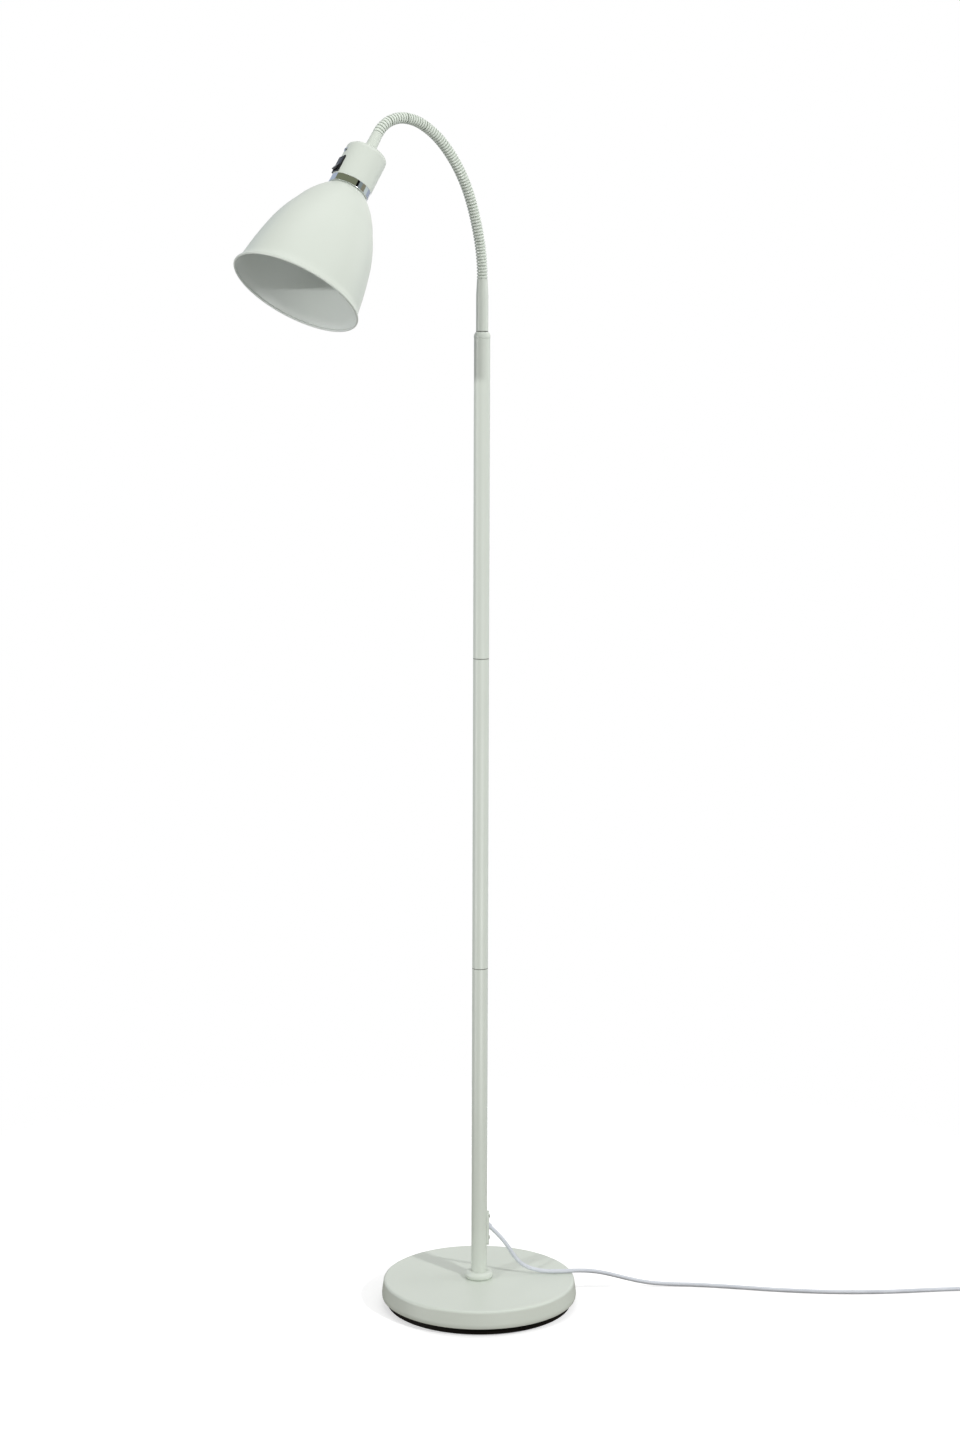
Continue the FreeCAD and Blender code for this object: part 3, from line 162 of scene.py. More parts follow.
@dataclass(frozen=True)
class Finish:
    """A surface finish: a tint that drifts a little, a roughness that drifts with it, and a fine skin.

    Colours are linear red, green and blue.
    """

    name: str
    slot: str
    tint: tuple[float, float, float]
    shade: tuple[float, float, float]
    smooth: float
    rough: float
    metallic: float = 0.0
    specular: float = 0.5
    coat: float = 0.0
    broad_scale: float = 9.0
    fine_scale: float = 900.0
    relief: float = 0.05
    relief_depth: float = 0.0003
    turned: bool = False

    def material(self, groups: dict[str, Tree]) -> bpy.types.Material:
        """Builds the material once and hands it back afterwards.

        Args:
            groups: The shared effect groups by name.

        Returns:
            The material of this finish.
        """
        known = bpy.data.materials.get(self.name)
        if known is not None:
            return known
        made, tree, surface = new_material(self.name)
        place = add(tree, "TexCoord").outputs["Object"]
        scales = {"Vector": place, "Broad Scale": self.broad_scale, "Fine Scale": self.fine_scale}
        skin = add_group(tree, groups["skin"], scales).outputs
        tone = add(tree, "ValToRGB", {"Fac": skin["Mottle"]})
        for stop, position, colour in zip(tone.color_ramp.elements, DRIFT, (self.shade, self.tint)):
            stop.position = position
            stop.color = (*colour, 1.0)
        gloss = add(tree, "MapRange", {"Value": skin["Mottle"], "From Min": DRIFT[0], "From Max": DRIFT[1]})
        feed(gloss, {"To Min": self.rough, "To Max": self.smooth})
        height = skin["Skin"]
        if self.turned:
            marks = add_group(tree, groups["marks"], {"Vector": place, "Scale": MARKS_SCALE})
            height = marks.outputs["Marks"]
        bump = add(tree, "Bump", {"Strength": self.relief, "Distance": self.relief_depth, "Height": height})
        feed(surface, {"Metallic": self.metallic, "Specular IOR Level": self.specular})
        feed(surface, {"Coat Weight": self.coat, "Coat Roughness": 0.12, "Base Color": tone.outputs["Color"]})
        feed(surface, {"Roughness": gloss.outputs["Result"], "Normal": bump.outputs["Normal"]})
        return made


@dataclass(frozen=True)
class GlassFinish:
    """Clear glass of the bulb."""

    name: str = "bulb_glass_clear"

    def material(self, groups: dict[str, Tree]) -> bpy.types.Material:
        """Builds the glass, with a faint frosting that drifts over it.

        Args:
            groups: The shared effect groups by name.

        Returns:
            The glass material.
        """
        made, tree, surface = new_material(self.name)
        place = add(tree, "TexCoord").outputs["Object"]
        skin = add_group(tree, groups["skin"], {"Vector": place, "Broad Scale": 60.0, "Fine Scale": 700.0})
        frost = add(tree, "MapRange", {"Value": skin.outputs["Mottle"], "To Min": 0.15, "To Max": 0.35})
        feed(surface, {"Base Color": (0.9, 0.92, 0.9, 1.0), "Transmission Weight": 0.8, "IOR": 1.45})
        feed(surface, {"Roughness": frost.outputs["Result"]})
        return made


WHITE_COAT = Finish(
    "white_powder_coat", "painted_steel", (0.69, 0.738, 0.668), (0.665, 0.712, 0.642), 0.36, 0.44,
    specular=0.4, broad_scale=7.0, fine_scale=1100.0,
)
# The bell's inside: its white, made brighter and bluer than the outside coat as painted light on the lit
# inside.
WHITE_INSIDE_PAINTED_LIGHT = Finish(
    "white_shade_inside_painted_light", "painted_steel", (0.76, 0.80, 0.76), (0.72, 0.76, 0.725), 0.5, 0.6,
    broad_scale=14.0, relief=0.06,
)
NECK_COAT = Finish(
    "white_neck_coat", "painted_steel", (0.76, 0.815, 0.735), (0.72, 0.78, 0.70), 0.3, 0.4,
    coat=0.1, broad_scale=30.0, fine_scale=600.0, relief=0.02, relief_depth=0.0001,
)
# Painted shade: a darker copy of the neck's white for the hose's grooves and joint balls, where shade falls
# between the ribs.
GROOVE_PAINTED_SHADE = Finish(
    "neck_groove_painted_shade", "painted_steel", (0.58, 0.63, 0.56), (0.51, 0.56, 0.49), 0.5, 0.65,
    specular=0.2, broad_scale=40.0, fine_scale=600.0, relief=0.02, relief_depth=0.0001,
)
# Painted shade: a dark coat for the tube ends' chamfers and the fine line at the ferrule's foot, where shade
# falls in the seams.
SEAM_PAINTED_SHADE = Finish(
    "seam_shadow_coat", "painted_steel", (0.16, 0.17, 0.14), (0.1, 0.11, 0.09), 0.6, 0.75,
    broad_scale=60.0, relief_depth=0.0001,
)
CHROME = Finish(
    "ring_chrome", "chrome", (0.80, 0.81, 0.82), (0.76, 0.77, 0.78), 0.04, 0.08,
    metallic=1.0, broad_scale=30.0, relief=0.02, relief_depth=0.0001, turned=True,
)
ZINC = Finish(
    "bright_zinc", "zinc_steel", (0.55, 0.56, 0.58), (0.42, 0.43, 0.44), 0.24, 0.42,
    metallic=1.0, broad_scale=60.0, relief=0.12, relief_depth=0.0002, turned=True,
)
BRASS = Finish(
    "contact_brass", "brass", (0.78, 0.60, 0.28), (0.66, 0.48, 0.2), 0.2, 0.36,
    metallic=1.0, broad_scale=80.0, relief=0.08, relief_depth=0.0002, turned=True,
)
IRON = Finish(
    "cast_iron_skin", "cast_iron", (0.10, 0.10, 0.10), (0.05, 0.05, 0.05), 0.6, 0.8,
    metallic=0.6, broad_scale=40.0, fine_scale=500.0, relief=0.5, relief_depth=0.0006,
)
SWITCH_BLACK = Finish(
    "switch_black", "black_plastic", (0.016, 0.016, 0.017), (0.011, 0.011, 0.012), 0.28, 0.4,
    specular=0.35, broad_scale=60.0, fine_scale=2200.0, relief=0.12, relief_depth=0.0002,
)
COVER_BLACK = Finish(
    "cover_black", "black_plastic", (0.012, 0.010, 0.008), (0.007, 0.006, 0.005), 0.5, 0.65,
    specular=0.12, broad_scale=20.0, fine_scale=1400.0, relief=0.15,
)
FOOT_FELT = Finish(
    "foot_felt", "foot_foam", (0.03, 0.03, 0.03), (0.014, 0.014, 0.014), 0.85, 0.95,
    broad_scale=160.0, fine_scale=1500.0, relief=0.7, relief_depth=0.0008,
)
CORD_PVC = Finish(
    "cord_pvc", "cord_plastic", (0.70, 0.73, 0.78), (0.62, 0.65, 0.70), 0.38, 0.5,
    broad_scale=30.0, fine_scale=700.0, relief=0.12,
)
SCREW_STEEL = Finish(
    "screw_steel", "zinc_steel", (0.50, 0.53, 0.60), (0.38, 0.41, 0.47), 0.2, 0.36,
    metallic=1.0, broad_scale=200.0, relief=0.1, relief_depth=0.0001, turned=True,
)
CLEAR_GLASS = GlassFinish()


class Workshop:
    """Holds the shared effect groups and finishes pieces with them."""

    def __init__(self) -> None:
        """Builds the shared groups."""
        self.groups = {"skin": build_skin_group(), "marks": build_brushing_group()}

    def dress(self, piece: bpy.types.Object, finish: Finish | GlassFinish) -> None:
        """Gives a whole piece one finish.

        Args:
            piece: The mesh or curve object.
            finish: The finish it gets.
        """
        piece.data.materials.clear()
        piece.data.materials.append(finish.material(self.groups))

    def piece(
        self,
        shape: Shape,
        name: str,
        finish: Finish,
        body: str,
        nodes: tuple[str, ...],
        sharp: float = 32.0,
        second: Finish | None = None,
    ) -> bpy.types.Object:
        """Turns a shape into a named piece of the lamp that rides on its body.

        Args:
            shape: The finished mesh, in metres, in the row frame. It is freed here.
            name: The piece's name.
            finish: The finish it gets.
            body: The body it rides on.
            nodes: The solids that it stands for.
            sharp: Edges that turn by more degrees than this stay crisp.
            second: The finish of the faces that the shape marks.

        Returns:
            The new object.
        """
        mesh = mesh_of(name, shape)
        mesh.shade_smooth()
        mesh.set_sharp_from_angle(angle=math.radians(sharp))
        made = placed(name, mesh)
        for coat in (finish, second):
            if coat is not None:
                mesh.materials.append(coat.material(self.groups))
        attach(made, body)
        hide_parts(*nodes)
        LOG.info("made %s on %s", name, body)
        return made


# -------- shapes


class Corner(NamedTuple):
    """A corner of a turned outline, in millimetres, with the radius of its rounding."""

    radius: float
    height: float
    rounding: float = 0.0


def mesh_of(name: str, shape: Shape) -> bpy.types.Mesh:
    """Turns a shape into a mesh of that name, and frees the shape."""
    mesh = bpy.data.meshes.new(name)
    shape.to_mesh(mesh)
    shape.free()
    return mesh


def placed(name: str, data: bpy.types.ID, place: Matrix | None = None) -> bpy.types.Object:
    """Puts an object with that data into the scene, at the origin or at the given place."""
    made = bpy.data.objects.new(name, data)
    if place is not None:
        made.matrix_world = place
    bpy.context.scene.collection.objects.link(made)
    return made


def turn_about(axis: str, degrees: float) -> Matrix:
    """A turn about one of the axes."""
    return Matrix.Rotation(math.radians(degrees), 4, axis)


def arc_corners(first: Point, last: Point, radius: float, outward: bool, count: int) -> list[Point]:
    """Points along an arc that bulges away from the axis, or towards it.

    Args:
        first: Where the arc starts.
        last: Where it ends.
        radius: The arc's radius.
        outward: True where the arc's middle lies further from the axis than its chord.
        count: How many points between the ends.

    Returns:
        The points between the ends, in order.
    """
    start, end = Vector(first[:2]), Vector(last[:2])
    chord = end - start
    half = chord.length / 2
    side = Vector((chord.y, -chord.x)).normalized()
    if (side.x > 0) != outward:
        side = -side
    centre = (start + end) / 2 - side * math.sqrt(max(radius * radius - half * half, 0.0))
    begin, finish = start - centre, end - centre
    turn = begin.angle_signed(finish)
    points = []
    for index in range(1, count + 1):
        here = begin.copy()
        here.rotate(Matrix.Rotation(-turn * index / (count + 1), 2))
        points.append((centre.x + here.x, centre.y + here.y))
    return points


def supported(outline: list[Corner]) -> list[Corner]:
    """Adds a corner near both ends of every long straight side, so that the flat between them shades flat.

    Args:
        outline: The corners in order, the last one next to the first one.

    Returns:
        The same outline with the added corners.
    """
    full = []
    for corner, after in zip(outline, outline[1:] + outline[:1]):
        full.append(corner)
        side = Vector((after.radius - corner.radius, after.height - corner.height))
        if side.length < LONG_SIDE + corner.rounding + after.rounding:
            continue
        for reach in (corner.rounding + SUPPORT_GAP, side.length - after.rounding - SUPPORT_GAP):
            share = reach / side.length
            full.append(Corner(corner.radius + side.x * share, corner.height + side.y * share))
    return full


def turned(outline: list[Point], steps: int = 64) -> Shape:
    """Spins a closed outline round the Z axis.

    Args:
        outline: The radius and height of its corners in order, some with a rounding, in millimetres.
        steps: How many steps one turn takes.

    Returns:
        The shape in metres, with its faces pointing outwards.
    """
    shape = bmesh.new()
    outline = supported([Corner(*point) for point in outline])
    corners = [shape.verts.new((c.radius * MM, 0.0, c.height * MM)) for c in outline]
    shape.faces.new(corners)
    rounded = [(vert, corner.rounding) for vert, corner in zip(corners, outline) if corner.rounding > 0]
    for vert, rounding in rounded:
        bmesh.ops.bevel(
            shape, geom=[vert], offset=rounding * MM, offset_type="OFFSET", segments=3, profile=0.5,
            affect="VERTICES", material=-1,
        )
    bmesh.ops.delete(shape, geom=list(shape.faces), context="FACES_ONLY")
    bmesh.ops.spin(
        shape, geom=list(shape.verts) + list(shape.edges), cent=(0, 0, 0), axis=(0, 0, 1), dvec=(0, 0, 0),
        angle=2 * math.pi, steps=steps, use_merge=True, use_duplicate=False,
    )
    bmesh.ops.remove_doubles(shape, verts=list(shape.verts), dist=1e-6)
    bmesh.ops.recalc_face_normals(shape, faces=list(shape.faces))
    return shape


def bevelled(shape: Shape, rounding: float) -> Shape:
    """Rounds every edge of a shape by that radius in metres, and hands it back."""
    bmesh.ops.bevel(
        shape, geom=list(shape.edges), offset=rounding, offset_type="OFFSET", segments=3, profile=0.5,
        affect="EDGES", material=-1,
    )
    return shape


def rounded_block(low: Vector, high: Vector, rounding: float) -> Shape:
    """A box with rounded edges.

    Args:
        low: Its lowest corner in metres.
        high: Its highest corner in metres.
        rounding: The edge radius in metres.

    Returns:
        The block.
    """
    shape = bmesh.new()
    bmesh.ops.create_cube(shape, size=1.0)
    bmesh.ops.scale(shape, verts=list(shape.verts), vec=high - low)
    bmesh.ops.translate(shape, verts=list(shape.verts), vec=(low + high) / 2)
    return bevelled(shape, rounding)


def pushed(shape: Shape, face: Face, way: Point) -> None:
    """Pushes a face along a way in metres, with walls behind it."""
    grown = bmesh.ops.extrude_face_region(shape, geom=[face])["geom"]
    verts = [item for item in grown if isinstance(item, bmesh.types.BMVert)]
    bmesh.ops.translate(shape, verts=verts, vec=way)


def prism(outline: list[Point], way: Point, rounding: float) -> Shape:
    """Pushes a flat outline along a way and rounds all edges.

    Args:
        outline: The outline's corners in metres.
        way: How far and where it is pushed, in metres.
        rounding: The edge radius in metres.

    Returns:
        The prism.
    """
    shape = bmesh.new()
    pushed(shape, shape.faces.new([shape.verts.new(corner) for corner in outline]), way)
    bmesh.ops.recalc_face_normals(shape, faces=list(shape.faces))
    return bevelled(shape, rounding)


def joined(*shapes: Shape) -> Shape:
    """Puts several shapes into one mesh, and frees them.

    Args:
        *shapes: The shapes.

    Returns:
        One shape that holds them all.
    """
    whole = bmesh.new()
    for shape in shapes:
        carrier = mesh_of("carrier", shape)
        whole.from_mesh(carrier)
        bpy.data.meshes.remove(carrier)
    return whole


def marked(shape: Shape, chosen: Callable[[Face], bool]) -> Shape:
    """Marks the chosen faces for the piece's second finish.

    Args:
        shape: The shape.
        chosen: Says of a face whether it is marked.

    Returns:
        The same shape.
    """
    shape.normal_update()
    for face in shape.faces:
        face.material_index = int(chosen(face))
    return shape


def moved(shape: Shape, place: Matrix) -> Shape:
    """Moves a whole shape, and hands it back."""
    bmesh.ops.transform(shape, matrix=place, verts=list(shape.verts), space=Matrix.Identity(4))
    return shape


# -------- base and pole


@dataclass
class WeightedBase:
    """The pressed shell, the black dish under it, the felt and the collar round the pole. Millimetres."""

    flat_radius: float = 113.4
    shoulder_radius: float = 116.9
    widest_radius: float = 118.9
    top: float = 32.0
    shoulder: float = 28.4
    widest: float = 14.0
    bottom: float = 10.5
    wall: float = 1.5
    cover_radius: float = 112.5
    cover_top: float = 10.2
    cover_sheet: float = 2.0
    foot_radius: float = 104.0
    foot_height: float = 2.0
    collar_radius: float = 16.8
    collar_top: float = 41.0
    collar_hole: float = 9.6
    hole: float = 5.2
    edge_arc: float = 3.6
    inner_arc: float = 2.4
    edge_shift: float = 0.4
    lip_shift: float = 0.6
    steps: int = 144

    def build(self, shop: Workshop) -> None:
        """Builds the base's visible pieces.

        Args:
            shop: Finishes the pieces.
        """
        shop.piece(self.shell(), "base_shell_skin", WHITE_COAT, "stand", ("base_shell",))
        shop.piece(self.cover(), "bottom_cover_dish", COVER_BLACK, "stand", ("bottom_cover",))
        shop.piece(self.foot(), "foot_pad_felt", FOOT_FELT, "stand", ("foot_pad",))
        shop.piece(self.collar(), "collar_ring", WHITE_COAT, "stand", ("base_collar",))

    def shell(self) -> Shape:
        """The pressed shell with its rolled lower edge."""
        edge, shoulder = (self.flat_radius, self.top), (self.shoulder_radius, self.shoulder)
        side, inner = self.widest_radius, self.widest_radius - self.wall
        inner_edge = (self.flat_radius - self.edge_shift, self.top - self.wall)
        inner_shoulder = (self.shoulder_radius - self.wall, self.shoulder)
        outline = [(self.hole, self.top), edge] + arc_corners(edge, shoulder, self.edge_arc, True, 7)
        outline += [shoulder, (side, self.widest, 2.0), (side - self.lip_shift, self.bottom, 0.5)]
        outline += [(inner - self.lip_shift, self.bottom, 0.3), (inner, self.widest), inner_shoulder]
        outline += arc_corners(inner_shoulder, inner_edge, self.inner_arc, True, 5)
        return turned(outline + [inner_edge, (self.hole, self.top - self.wall)], self.steps)

    def cover(self) -> Shape:
        """The black dish that closes the base from below."""
        low, rim, top = self.foot_height, self.cover_radius, self.cover_top
        inner, high = rim - self.cover_sheet, low + self.cover_sheet
        outline = [(0.0, low), (rim, low, 0.6), (rim, top, 0.4), (inner, top, 0.4)]
        return turned(outline + [(inner, high, 1.0), (0.0, high)], self.steps)

    def foot(self) -> Shape:
        """The felt disc that the lamp stands on."""
        radius, height = self.foot_radius, self.foot_height
        return turned([(0.0, 0.0), (radius, 0.0), (radius, height), (0.0, height)], self.steps)

    def collar(self) -> Shape:
        """The half-round ring that covers the hole round the pole."""
        middle = (self.top + self.collar_top) / 2
        crown = (self.collar_top - self.top) / 2
        foot, widest = (self.collar_radius - crown * 0.55, self.top), (self.collar_radius, middle)
        crest = (self.collar_radius - crown * 0.75, self.collar_top)
        outline = [(self.collar_hole, self.top), foot] + arc_corners(foot, widest, crown, True, 4) + [widest]
        outline += arc_corners(widest, crest, crown, True, 7)
        return turned(outline + [crest, (self.collar_hole, self.collar_top, 0.5)], 96)


@dataclass
class StraightPole:
    """Three tubes of equal thickness, the stepped reducer and the lower ferrule. Sizes in millimetres."""

    radius: float = 9.5
    wall: float = 1.2
    chamfer: float = 0.45
    seams: tuple[float, ...] = (32.0, 420.0, 795.0, 1170.0)
    reducer_top: float = 1177.0
    ferrule_radius: float = 7.15
    ferrule_tip: float = 6.15
    ferrule_shoulder: float = 1219.2
    ferrule_top: float = 1238.2
    # The width of the painted shade line at the ferrule's foot.
    foot_line: float = 1.2
    shank_length: float = 18.0
    crown_arc: float = 7.0
    clearance: float = 0.15
    spigot_length: float = 32.0

    def build(self, shop: Workshop) -> None:
        """Builds the tubes, the reducer and the ferrule.

        Args:
            shop: Finishes the pieces.
        """
        names = ("lower_tube", "middle_tube", "upper_tube")
        for name, foot, top in zip(names, self.seams, self.seams[1:]):
            shape = self.tube(foot, top)
            shop.piece(shape, f"{name}_painted", WHITE_COAT, "stand", (name,), second=SEAM_PAINTED_SHADE)
        shop.piece(self.reducer(), "reducer_cap", WHITE_COAT, "stand", ("top_reducer",))
        ferrule = marked(self.ferrule(), self.at_foot)
        shop.piece(ferrule, "lower_ferrule", WHITE_COAT, "neck_1", ("neck_ferrule",), second=SEAM_PAINTED_SHADE)

    def tube(self, foot: float, top: float) -> Shape:
        """One tube, whose chamfered ends carry the painted shade that makes its seams show."""
        radius, chamfer, inner = self.radius, self.chamfer, self.radius - self.wall
        low, high = self.seams[0] + 1, self.seams[-1] - 1
        outline = [(radius - chamfer, foot), (radius, foot + chamfer), (radius, top - chamfer)]
        shape = turned(outline + [(radius - chamfer, top), (inner, top), (inner, foot)])

        def at_seam(face: Face) -> bool:
            height = face.calc_center_median().z / MM
            return min(height - foot, top - height) < chamfer and low < height < high

        return marked(shape, at_seam)

    def at_foot(self, face: Face) -> bool:
        """Says whether a face of the ferrule lies in the fine line of painted shade where it meets the
        reducer.
        """
        return 0 < face.calc_center_median().z / MM - self.reducer_top < self.foot_line

    def reducer(self) -> Shape:
        """The cap that steps the tube down to the ferrule, with its shank in the tube."""
        foot, tip = (self.radius, self.seams[-1]), (self.ferrule_radius + self.clearance, self.reducer_top)
        shank, low = self.radius - self.wall - 0.05, self.seams[-1] - self.shank_length
        outline = [(SEAT_RADIUS, low), (shank, low), (shank, self.seams[-1]), foot]
        outline += arc_corners(foot, tip, self.crown_arc, True, 8)
        return turned(outline + [tip, (SEAT_RADIUS, self.reducer_top)])

    def ferrule(self) -> Shape:
        """The plain sleeve that holds the gooseneck's lower end and turns in the reducer."""
        low, foot, top = self.reducer_top - self.spigot_length, self.reducer_top + 0.2, self.ferrule_top
        radius, seat = self.ferrule_radius, top - SEAT_DEPTH
        outline = [(HOSE_BORE, low), (TAIL_RADIUS, low), (TAIL_RADIUS, foot), (radius, foot, 0.5)]
        outline += [(radius, self.ferrule_shoulder, 2.0), (self.ferrule_tip, top, 0.25)]
        return turned(outline + [(SEAT_RADIUS, top), (SEAT_RADIUS, seat), (HOSE_BORE, seat)])


# -------- gooseneck


@dataclass
class Gooseneck:
    """The ribbed steel hose in eight lengths, with a hidden ball between each two. Millimetres, degrees."""

    foot_height: float = 1238.2
    pitch: float = 3.6
    crest: float = 6.3
    groove: float = 5.1
    # How far below the crest the grooves' painted shade begins.
    groove_shade_depth: float = 0.32
    tail_length: float = 12.6
    ribs: tuple[int, ...] = (12, 12, 11, 11, 10, 8, 7, 6)
    bends: tuple[float, ...] = (12.5, 8.0, 13.5, 14.0, 18.0, 22.0, 28.0, 30.0)
    profile: tuple[tuple[float, float], ...] = (
        (0.13, 1.2), (0.165, 0.32), (0.22, 0.1), (0.34, 0.0),
        (0.66, 0.0), (0.78, 0.1), (0.835, 0.32), (0.87, 1.2),
    )
    lower_joints: int = 4
    lower_travel: float = 12.0
    upper_travel: float = 18.0
    joint_gap: float = 0.04
    socket: float = 4.85
    socket_depth: float = 3.7
    ball_radius: float = 4.8
    ball_bore: float = 4.2
    steps_per_turn: int = 56
    starts: list[float] = field(default_factory=list)

    def __post_init__(self) -> None:
        """Works out where each stretch starts along the hose."""
        along = 0.0
        self.starts = [0.0]
        for count in self.ribs:
            along += count * self.pitch
            self.starts.append(along)

    def frame_at(self, along: float) -> Matrix:
        """The bent centreline's frame: Z runs along the hose and Y stays level.

        Args:
            along: Distance along the hose in millimetres, which may pass either end.

        Returns:
            The frame, in metres.
        """
        x, z, heading = 0.0, self.foot_height, 0.0
        for index, bend_deg in enumerate(self.bends):
            start, end = self.starts[index], self.starts[index + 1]
            curve = math.radians(bend_deg) / (end - start)
            reach = min(max(along, start), end) - start
            lean = heading + curve * reach
            x += (math.cos(lean) - math.cos(heading)) / curve
            z += (math.sin(lean) - math.sin(heading)) / curve
            heading = lean
            if along <= end:
                break
        past = along - self.starts[-1] if along > self.starts[-1] else min(along, 0.0)
        x -= math.sin(heading) * past
        z += math.cos(heading) * past
        turn = Matrix.Rotation(-heading, 4, "Y")
        return Matrix.Translation((x * MM, 0.0, z * MM)) @ turn

    def bent(self, shape: Shape) -> Shape:
        """Bends a straight shape along the hose's centreline, and hands it back."""
        for vert in shape.verts:
            along = vert.co.z / MM
            vert.co = self.frame_at(along) @ Vector((vert.co.x, vert.co.y, 0.0))
        return shape

    def clearance(self, joint: int, radius: float) -> float:
        """How far from a joint a point at that radius stays, so that no rib meets the next at full travel."""
        travel = self.lower_travel if joint <= self.lower_joints else self.upper_travel
        return radius * math.tan(math.radians(travel / 2)) + self.joint_gap

    def ribs_of(self, index: int) -> list[Point]:
        """The outer outline of one length: its ribs, which stand back from the ball joints at its ends."""
        start, end, gap = self.starts[index], self.starts[index + 1], self.joint_gap
        low = 0.0 if index == 0 else self.clearance(index, 1.0) - gap
        high = 0.0 if index == len(self.ribs) - 1 else self.clearance(index + 1, 1.0) - gap
        corners = []
        for rib in range(self.ribs[index]):
            for share, drop in self.profile:
                radius = self.crest - drop
                height = max(start + (rib + share) * self.pitch, start + low * radius + gap)
                corners.append((radius, min(height, end - high * radius - gap)))
        return corners

    def length_of_hose(self, index: int) -> Shape:
        """One length of the hose, bent as at rest, with its bore and a socket or a plain tail at each end."""
        start, end = self.starts[index], self.starts[index + 1]
        foot, top = start + self.socket_depth, end - self.socket_depth
        outline = self.ribs_of(index)
        if index == len(self.ribs) - 1:
            tip = end + self.tail_length
            outline += [(self.groove, end), (TAIL_RADIUS, end), (TAIL_RADIUS, tip), (HOSE_BORE, tip)]
        else:
            edge = end - self.clearance(index + 1, self.groove)
            outline += [(self.groove, edge), (self.socket, edge), (self.socket, top), (HOSE_BORE, top)]
        steps = self.ribs[index] - 1
        outline += [(HOSE_BORE, top + (foot - top) * step / steps) for step in range(1, steps)]
        if index == 0:
            tip = start - self.tail_length
            outline += [(HOSE_BORE, tip), (TAIL_RADIUS, tip), (TAIL_RADIUS, start), (self.groove, start)]
        else:
            edge = start + self.clearance(index, self.groove)
            outline += [(HOSE_BORE, foot), (self.socket, foot), (self.socket, edge), (self.groove, edge)]
        # Faces that lie that depth below the crest or deeper get the painted shade of the grooves.
        limit = (self.crest - self.groove_shade_depth) * MM
        shape = turned(outline, self.steps_per_turn)
        return self.bent(marked(shape, lambda face: face.calc_center_median().xy.length < limit))

    def knuckle(self, joint: int) -> Shape:
        """The hollow ball in the groove between two lengths, which keeps the groove closed as they bend."""
        reach = math.degrees(math.acos(self.ball_bore / self.ball_radius))
        outline = []
        for index in range(9):
            turn = math.radians(reach * (index / 4 - 1))
            outline.append((self.ball_radius * math.cos(turn), self.ball_radius * math.sin(turn)))
        # The whole ball gets the grooves' painted shade.
        shape = marked(turned(outline, self.steps_per_turn), lambda face: True)
        return moved(shape, self.frame_at(self.starts[joint]))

    def build(self, shop: Workshop) -> None:
        """Builds the eight lengths, each with the ball of the joint at its upper end.

        Args:
            shop: Finishes the pieces.
        """
        bodies = [f"neck_{number}" for number in range(1, len(self.ribs))] + ["head"]
        for index, body in enumerate(bodies):
            shape = self.length_of_hose(index)
            if body != "head":
                shape = joined(shape, self.knuckle(index + 1))
            name, solid = f"neck_length_{index + 1}", f"gooseneck_{index + 1}"
            shop.piece(shape, name, NECK_COAT, body, (solid,), sharp=50.0, second=GROOVE_PAINTED_SHADE)


# -------- head


